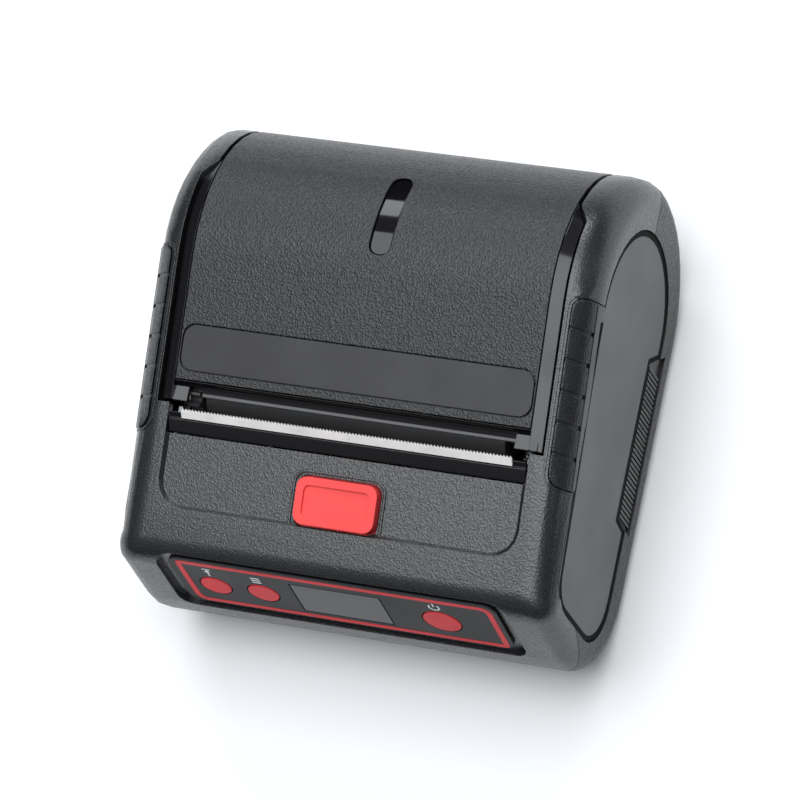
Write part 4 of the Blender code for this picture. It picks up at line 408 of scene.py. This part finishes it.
BOARD = satin("board_green", (0.012, 0.085, 0.030), 0.4, grain=0.6 * MM, depth=0.01 * MM)
PACK = satin("battery_grey", (0.020, 0.021, 0.023), 0.5)
GLASS = polished("display_glass", (0.031, 0.033, 0.037), 0.16)
GLASS.set_shine(0.3)
# Painted reflection: the tear bar's near-white steel colour is made mostly diffuse (metallic 0.12), so
# it shows as bright as the bar's mirrored light.
BLADE_PAINTED_SHEEN = metal("tear_steel_painted_sheen", (0.95, 0.92, 0.90), 0.40, (1, 8, 8))
BLADE_PAINTED_SHEEN.shader.inputs["Metallic"].default_value = 0.12
LINE = satin("printed_red", (0.62, 0.020, 0.028), 0.50)
for ink in (KEY, LINE, RED):
    ink.set_shine(0.25)
WHITE = satin("printed_white", (0.78, 0.79, 0.80), 0.5)
NYLON = satin("black_nylon", (0.018, 0.018, 0.019), 0.45)

FINISHES = {
    "bottom_shell": BASE, "upper_housing": SHELL, "cover_skin": COVER, "cover_frame": GLOSS,
    "side_plate_left": PLATE, "side_plate_right": PLATE, "side_rib_strip_left": RUBBER,
    "side_rib_strip_right": RUBBER, "rail_grip_left": GRIP, "rail_grip_right": GRIP,
    "label_plate": LABEL, "slot_window": SMOKED, "tear_bar": BLADE_PAINTED_SHEEN, "tear_bar_holder": GLOSS,
    "platen_roller": PLATEN, "platen_shaft": STEEL, "platen_gear": NYLON, "idler_gear": NATURAL,
    "platen_bush_left": STEEL, "platen_bush_right": STEEL, "motor_pinion": ZINC, "motor_shaft": STEEL,
    "stepper_motor": ZINC, "mechanism_frame": ZINC, "latch_lever": ZINC, "latch_spring": STEEL,
    "head_spring_left": STEEL, "head_spring_right": STEEL, "print_head": CERAMIC,
    "head_heat_sink": ZINC, "open_button": RED, "feed_key": KEY, "mode_key": KEY, "power_key": KEY,
    "feed_switch": ZINC, "mode_switch": ZINC, "power_switch": ZINC, "key_board": BOARD,
    "main_board": BOARD, "display_module": GLASS, "display_window": GLASS, "panel_overlay": FILM,
    "paper_tub": BLACK, "paper_guide_left": PLATE, "paper_guide_right": PLATE, "guide_pinion": NATURAL,
    "battery_pack": PACK, "battery_latch": BLACK, "socket_flap": RUBBER, "charge_socket": STEEL,
    "power_socket": BLACK, "hinge_pin": STEEL, "case_screw_1": STEEL, "case_screw_2": STEEL,
    "case_screw_3": STEEL, "case_screw_4": STEEL,
}
for name, item in frame["nodes"].items():
    for spot in item.material_slots:
        spot.material = FINISHES[name].material
print("finishes", len(FINISHES))

# %% [markdown]
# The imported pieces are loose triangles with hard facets. A moulded piece is smooth where it curves
# and has a small radius on each edge. `refined` welds a copy of a piece, joins the flat facets,
# rolls the hard edges over with a bevel, and weighs the normals so that flat faces stay flat.

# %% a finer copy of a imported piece
WELD = 0.000002
SMOOTH_BELOW, SHARP_ABOVE, FLAT_WITHIN = math.radians(34), math.radians(40), math.radians(0.3)
BODY = {name: item["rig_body"] for name, item in frame["nodes"].items()}


def placed(bm, name, finish, body, stands_for=(), smooth=SMOOTH_BELOW):
    """Turn a bmesh into a piece of the printer: smooth its curves, dress it and let it ride."""
    bmesh.ops.recalc_face_normals(bm, faces=bm.faces)
    if bm.calc_volume(signed=True) < 0:
        bmesh.ops.reverse_faces(bm, faces=bm.faces)
    for face in bm.faces:
        face.smooth = True
    for edge in bm.edges:
        edge.smooth = len(edge.link_faces) == 2 and edge.calc_face_angle(0.0) < smooth
    mesh = bpy.data.meshes.new(name)
    bm.to_mesh(mesh)
    bm.free()
    piece = bpy.data.objects.new(name, mesh)
    bpy.context.scene.collection.objects.link(piece)
    mesh.materials.append(finish.material)
    weigh = piece.modifiers.new("weighted normals", "WEIGHTED_NORMAL")
    weigh.keep_sharp = True
    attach(piece, body)
    if stands_for:
        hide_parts(*stands_for)
    return piece


def welded(name):
    """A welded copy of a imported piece, with its flat facets joined."""
    bm = bmesh.new()
    bm.from_mesh(frame["nodes"][name].data)
    bmesh.ops.remove_doubles(bm, verts=bm.verts, dist=WELD)
    bmesh.ops.dissolve_limit(bm, angle_limit=FLAT_WITHIN, verts=bm.verts, edges=bm.edges)
    return bm


def roll_edges(bm, radius):
    """Give the hard outer edges a radius."""
    hard = [e for e in bm.edges
            if len(e.link_faces) == 2 and e.is_convex and e.calc_face_angle(0.0) > SHARP_ABOVE]
    bmesh.ops.bevel(bm, geom=hard, offset=radius, offset_type="OFFSET", segments=2, profile=0.5,
                    affect="EDGES", clamp_overlap=True, material=-1)


DECK_FLOOR, SUNK_HALF_X, SUNK_FRONT, SUNK_CORNER = -1.0 * MM, 43.0 * MM, -4.5 * MM, 4.8 * MM
STEEPER, NEAR = 0.8 * MM, 0.06 * MM


def steeper_ramp(bm):
    """Move the rim of the sunken deck's floor outwards, so that the ramp round it catches a shadow."""
    to_deck, moved = DECK.inverted(), 0
    corner_x, corner_y = SUNK_HALF_X - SUNK_CORNER, SUNK_FRONT + SUNK_CORNER
    for vert in bm.verts:
        spot = to_deck @ vert.co
        over = Vector((max(abs(spot.x) - corner_x, 0.0), min(spot.y - corner_y, 0.0)))
        if abs(spot.z - DECK_FLOOR) < NEAR and abs(over.length - SUNK_CORNER) < NEAR:
            step = over.normalized() * STEEPER
            vert.co = DECK @ Vector((spot.x + math.copysign(step.x, spot.x), spot.y + step.y, spot.z))
            moved += 1
    print("deck rim points moved", moved)


def refined(name, radius=0.0, smooth=SMOOTH_BELOW):
    """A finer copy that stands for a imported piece."""
    bm = welded(name)
    if name == "upper_housing":
        steeper_ramp(bm)
    if radius:
        roll_edges(bm, radius)
    return placed(bm, name + "_fine", FINISHES[name], BODY[name], [name], smooth)


EDGE_RADII = {
    "upper_housing": 0.0, "bottom_shell": 0.0, "cover_skin": 0.0, "cover_frame": 0.0,
    "side_plate_left": 0.15 * MM, "side_plate_right": 0.15 * MM, "rail_grip_left": 0.35 * MM,
    "rail_grip_right": 0.35 * MM, "side_rib_strip_left": 0.0, "side_rib_strip_right": 0.0,
    "label_plate": 0.1 * MM, "slot_window": 0.2 * MM, "tear_bar_holder": 0.3 * MM,
    "open_button": 0.45 * MM, "panel_overlay": 0.06 * MM, "feed_key": 0.12 * MM,
    "mode_key": 0.12 * MM, "power_key": 0.12 * MM, "display_window": 0.08 * MM,
    "platen_roller": 0.3 * MM, "battery_pack": 0.5 * MM, "battery_latch": 0.3 * MM,
    "socket_flap": 0.25 * MM, "paper_tub": 0.2 * MM, "paper_guide_left": 0.3 * MM,
    "paper_guide_right": 0.3 * MM, "case_screw_1": 0.2 * MM, "case_screw_2": 0.2 * MM,
    "case_screw_3": 0.2 * MM, "case_screw_4": 0.2 * MM,
}
FINE = {name: refined(name, radius) for name, radius in EDGE_RADII.items()}
print("refined", {name: len(item.data.polygons) for name, item in FINE.items()})

# %% [markdown]
# The film on the leaning face carries a printed red border with two sharp and two round corners.
# A frame like this starts as a flat rectangle. Its corners are rounded with a bevel, an inset
# leaves the line round it, and the line is lifted by the thickness of the ink.

# %% border of the key film
INK = 0.05 * MM
BORDER_HALF, BORDER_SHIFT, BORDER_TOP, BORDER_BOTTOM = 39.3 * MM, 0.4 * MM, 10.3 * MM, -9.4 * MM
LINE_WIDTH, SHARP_CORNER, ROUND_CORNER = 1.45 * MM, 1.5 * MM, 3 * MM
CORNER_STEPS = 8


def flat_plate(half_x, low, high, corners):
    """Flat rectangle with rounded corners: top left, top right, bottom left, bottom right."""
    bm = bmesh.new()
    bmesh.ops.create_grid(bm, x_segments=1, y_segments=1, size=1.0)
    bmesh.ops.scale(bm, vec=(half_x, (high - low) / 2, 1), verts=bm.verts)
    bmesh.ops.translate(bm, vec=(0, (high + low) / 2, 0), verts=bm.verts)
    bm.verts.ensure_lookup_table()
    spots = {(v.co.x > 0, v.co.y > (high + low) / 2): v for v in bm.verts}
    keys = [(False, True), (True, True), (False, False), (True, False)]
    for key, radius in zip(keys, corners):
        if radius:
            bmesh.ops.bevel(bm, geom=[spots[key]], offset=radius, offset_type="OFFSET", profile=0.5,
                            segments=CORNER_STEPS, affect="VERTICES", clamp_overlap=True, material=-1)
    return bm


def rim_band(bm, width):
    """Keep only a band of some width along the rim of a flat plate."""
    bmesh.ops.inset_region(bm, faces=bm.faces, thickness=width, use_even_offset=True,
                           use_boundary=True)
    inner = max(bm.faces, key=lambda f: f.calc_area())
    bmesh.ops.delete(bm, geom=[inner], context="FACES")


def raised(bm, height):
    """Extrude flat work out of its plane."""
    lifted = bmesh.ops.extrude_face_region(bm, geom=bm.faces[:])
    tops = [v for v in lifted["geom"] if isinstance(v, bmesh.types.BMVert)]
    bmesh.ops.translate(bm, vec=(0, 0, height), verts=tops)


def ring(bm, width, height):
    """Turn a flat plate into a raised line along its rim."""
    rim_band(bm, width)
    raised(bm, height)
    return bm


border = flat_plate(BORDER_HALF, BORDER_BOTTOM, BORDER_TOP,
                    (SHARP_CORNER, ROUND_CORNER, ROUND_CORNER, SHARP_CORNER))
border = ring(border, LINE_WIDTH, INK)
border.transform(PANEL @ Matrix.Translation((BORDER_SHIFT, 0, 0)))
border = placed(border, "panel_border", LINE, "case")
print("border", len(border.data.polygons))

# %% [markdown]
# Above each key sits a small white sign. Plain signs do here: an arrow for the paper feed, three
# bars for the settings and the usual ring with a stroke for the power key. They are ink as well.

# %% signs over the keys
SIGN, SIGN_SCALE, SIGN_OVER_KEY = 1.7 * MM, 0.85, 2.3 * MM


def key_spot(name):
    """Centre of a key on the panel, in the panel's own frame, and its radius."""
    low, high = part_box(name)
    middle = PANEL.inverted() @ ((low + high) / 2)
    return middle.x, middle.y, (high.x - low.x) / 2


def bar(bm, x, y, half_x, half_y):
    """Add a flat bar."""
    made = bmesh.ops.create_grid(bm, x_segments=1, y_segments=1, size=1.0)["verts"]
    bmesh.ops.scale(bm, vec=(half_x, half_y, 1), verts=made)
    bmesh.ops.translate(bm, vec=(x, y, 0), verts=made)


def feed_sign(bm):
    """An arrow that runs up to a bar."""
    bar(bm, 0, -0.35 * SIGN, 0.13 * SIGN, 0.65 * SIGN)
    head = bmesh.ops.create_circle(bm, cap_ends=True, radius=0.62 * SIGN, segments=3)["verts"]
    bmesh.ops.translate(bm, vec=(0, 0.55 * SIGN, 0), verts=head)
    bar(bm, 0, 1.25 * SIGN, 0.7 * SIGN, 0.12 * SIGN)


def mode_sign(bm):
    """Three bars."""
    for row in (-0.7, 0.0, 0.7):
        bar(bm, 0, row * SIGN, 0.8 * SIGN, 0.14 * SIGN)


def power_sign(bm):
    """A ring that is open at the top, and a stroke in the gap."""
    disc = bmesh.new()
    bmesh.ops.create_circle(disc, cap_ends=True, radius=SIGN, segments=32)
    bmesh.ops.inset_region(disc, faces=disc.faces, thickness=0.26 * SIGN, use_boundary=True)
    inner = max(disc.faces, key=lambda f: len(f.verts))
    bmesh.ops.delete(disc, geom=[inner], context="FACES")
    gap = [f for f in disc.faces if f.calc_center_median().y > 0.6 * SIGN]
    bmesh.ops.delete(disc, geom=gap, context="FACES")
    made = bpy.data.meshes.new("disc")
    disc.to_mesh(made)
    disc.free()
    bm.from_mesh(made)
    bpy.data.meshes.remove(made)
    bar(bm, 0, 0.75 * SIGN, 0.13 * SIGN, 0.5 * SIGN)


for key, draw in (("feed_key", feed_sign), ("mode_key", mode_sign), ("power_key", power_sign)):
    bm = bmesh.new()
    draw(bm)
    raised(bm, INK)
    x, y, radius = key_spot(key)
    bm.transform(PANEL @ Matrix.Translation((x, y + radius + SIGN_OVER_KEY, 0))
                 @ Matrix.Scale(SIGN_SCALE, 4))
    placed(bm, key.replace("_key", "_sign"), WHITE, "case")
print("signs", SIGN)

# %% [markdown]
# A thin bead of plastic runs round the red button and keeps a thumb on it. It is open towards the
# front, where the deck rises. The same ring as above is cut off there and its edges are rolled.

# %% bead round the open button
BEAD_WIDTH, BEAD_HEIGHT, BEAD_GAP, BEAD_CORNER = 0.65 * MM, 0.45 * MM, 0.9 * MM, 3.4 * MM
BEAD_ROLL, BEAD_SUNK, PAST_BUTTON, SPARE = 0.18 * MM, 0.05 * MM, 0.2 * MM, 4 * MM
BUTTON_SKIRT, BUTTON_HALF_Y = 1.1 * MM, 5.5 * MM


def cut_below(bm, y):
    """Cut away what lies below y and close the cut ends."""
    bmesh.ops.bisect_plane(bm, geom=bm.verts[:] + bm.edges[:] + bm.faces[:],
                           plane_co=(0, y, 0), plane_no=(0, -1, 0), clear_outer=True)
    bmesh.ops.holes_fill(bm, edges=[e for e in bm.edges if e.is_boundary])


low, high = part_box("open_button")
half_x = (high.x - low.x) / 2 - BUTTON_SKIRT + BEAD_GAP + BEAD_WIDTH
half_y = BUTTON_HALF_Y + BEAD_GAP + BEAD_WIDTH
bead = flat_plate(half_x, -half_y - SPARE, half_y, (BEAD_CORNER, BEAD_CORNER, 0, 0))
bead = ring(bead, BEAD_WIDTH, BEAD_HEIGHT)
cut_below(bead, -half_y - PAST_BUTTON)
roll_edges(bead, BEAD_ROLL)
bead.transform(DECK @ Matrix.Translation((0, 0, DECK_FLOOR - BEAD_SUNK)))
bead = placed(bead, "button_bead", SHELL, "case")
print("bead", len(bead.data.polygons))

# %% [markdown]
# Under the red button stands a small coil spring that shortens as the button goes down; here it gets a
# finer copy with a mesh of its own.

# %% spring under the open button
spring = refined("latch_spring", smooth=math.radians(80))
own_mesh(spring)

# %% [markdown]
# Each side plate lies in a shallow pocket, and the shade in the gap round it is painted: a near-black
# line lies on the plate's rim. The flat face of the plate gives the outline: a copy of that face is
# inset, and only the thin band at its rim is kept.

# %% painted shade line round the side plates
RIM_LINE, FLAT_FACE = 1.25 * MM, math.radians(3)
# Painted shade: a near-black finish that barely mirrors, for the shade in the gaps round the side plates
# and in the slit above them.
GAP_PAINTED_SHADE = satin("gap_painted_shade", (0.0025, 0.0025, 0.0028), 0.7)
GAP_PAINTED_SHADE.set_shine(0.08)
for name, side in (("side_plate_left", -1), ("side_plate_right", 1)):
    bm = welded(name)
    bmesh.ops.dissolve_limit(bm, angle_limit=FLAT_FACE, verts=bm.verts, edges=bm.edges)
    face = max(bm.faces, key=lambda f: f.calc_area() * (f.normal.x * side > 0.9))
    bmesh.ops.delete(bm, geom=[f for f in bm.faces if f != face], context="FACES")
    rim_band(bm, RIM_LINE)
    bmesh.ops.solidify(bm, geom=bm.faces[:], thickness=INK)
    bmesh.ops.translate(bm, vec=(side * 0.5 * INK, 0, 0), verts=bm.verts)
    line = placed(bm, name + "_rim", GAP_PAINTED_SHADE, "case")
    print(line.name, len(line.data.polygons))

# %% [markdown]
# The rail at each side is a rounded edge that falls with the top. A point on it is given by its
# place along the rail and its place round it, and `draped` drops flat work on the rail that way:
# a ray runs inwards at half a right angle, and the point stays a little above where it lands.
# Three thin pieces lie there: a bead round the grip, the smooth tab of the side plate that reaches up
# beside it, and the slit that parts the tab from the plate, a near-black strip of painted shade.

# %% pieces on the rails
HALF = CASE_WIDTH / 2
GRIP_FRONT, GRIP_BACK, SEGMENTS = -0.0205, 0.0212, 6
GRIP_TOP, GRIP_LOW = -3.4 * MM, 6.3 * MM
RAY_START = 12 * MM


def draped(bm, side, targets):
    """Drop flat work on a rail: x runs along the rail, y round it, z is the height above it."""
    meshes = []
    for name in targets:
        target = bmesh.new()
        target.from_mesh(frame["nodes"][name].data)
        meshes.append(BVHTree.FromBMesh(target))
        target.free()
    inwards = Vector((-side, 0, -1)).normalized()
    for vert in bm.verts:
        along, around, height = vert.co
        start = Vector((side * (HALF + around / math.sqrt(2)), along,
                        top_height(along) - around / math.sqrt(2))) - inwards * RAY_START
        hits = [tree.ray_cast(start, inwards) for tree in meshes]
        place, normal = min(((h[3], h[0], h[1]) for h in hits if h[0]), key=lambda h: h[0])[1:]
        vert.co = place + normal * height
    return bm


BEAD_FROM_GRIP, RAIL_BEAD, RAIL_BEAD_HEIGHT = 0.75 * MM, 0.45 * MM, 0.30 * MM
TAB_TOP, SLIT_TOP, TAB_LIFT, TAB_THICKNESS = 3.1 * MM, 4.7 * MM, 0.06 * MM, 0.10 * MM
BEAD_SMOOTH = math.radians(60)
MIDDLE, REACH = (GRIP_BACK + GRIP_FRONT) / 2, (GRIP_BACK - GRIP_FRONT) / 2
PITCH = 2 * REACH / SEGMENTS
TAB_END, RAIL_CORNER, RAIL_SPARE, LONG_EDGE = 0.4 * MM, 3 * MM, 6 * MM, 3 * MM
COLUMNS = [GRIP_FRONT + TAB_END] + [GRIP_FRONT + PITCH * (k + 0.5) for k in range(SEGMENTS)]
COLUMNS.append(GRIP_BACK - TAB_END)


def strip_on_rail(name, finish, side, word, top, columns, lift):
    """Thin strip along a rail whose long edges are straight between the given columns."""
    bm = bmesh.new()
    last = len(columns) - 1
    bmesh.ops.create_grid(bm, x_segments=last, y_segments=4, size=1.0)
    for vert in bm.verts:
        vert.co = (columns[round((vert.co.x + 1) / 2 * last)],
                   top + (vert.co.y + 1) / 2 * (GRIP_LOW - top), lift)
    draped(bm, side, ["upper_housing", "rail_grip_" + word])
    bmesh.ops.recalc_face_normals(bm, faces=bm.faces)
    bmesh.ops.solidify(bm, geom=bm.faces[:], thickness=TAB_THICKNESS)
    return placed(bm, name, finish, "case")


for side, word in ((-1, "left"), (1, "right")):
    bm = flat_plate(REACH + BEAD_FROM_GRIP, -GRIP_LOW - RAIL_SPARE, -GRIP_TOP + BEAD_FROM_GRIP,
                    (RAIL_CORNER, RAIL_CORNER, 0, 0))
    ring(bm, RAIL_BEAD, RAIL_BEAD_HEIGHT)
    cut_below(bm, -GRIP_LOW)
    bmesh.ops.subdivide_edges(bm, edges=[e for e in bm.edges if e.calc_length() > LONG_EDGE], cuts=7,
                              use_grid_fill=True)
    for vert in bm.verts:
        vert.co = (vert.co.x + MIDDLE, -vert.co.y, vert.co.z - BEAD_SUNK)
    draped(bm, side, ["upper_housing"])
    placed(bm, "rail_bead_" + word, SHELL, "case", smooth=BEAD_SMOOTH)
    strip_on_rail("plate_tab_" + word, PLATE, side, word, TAB_TOP, COLUMNS, TAB_LIFT)
    # the slit's darkness is painted shade
    strip_on_rail("plate_slit_" + word, GAP_PAINTED_SHADE, side, word, SLIT_TOP, COLUMNS[1:-1], 2 * TAB_LIFT)
print("rails", HALF, [round(c, 4) for c in COLUMNS])
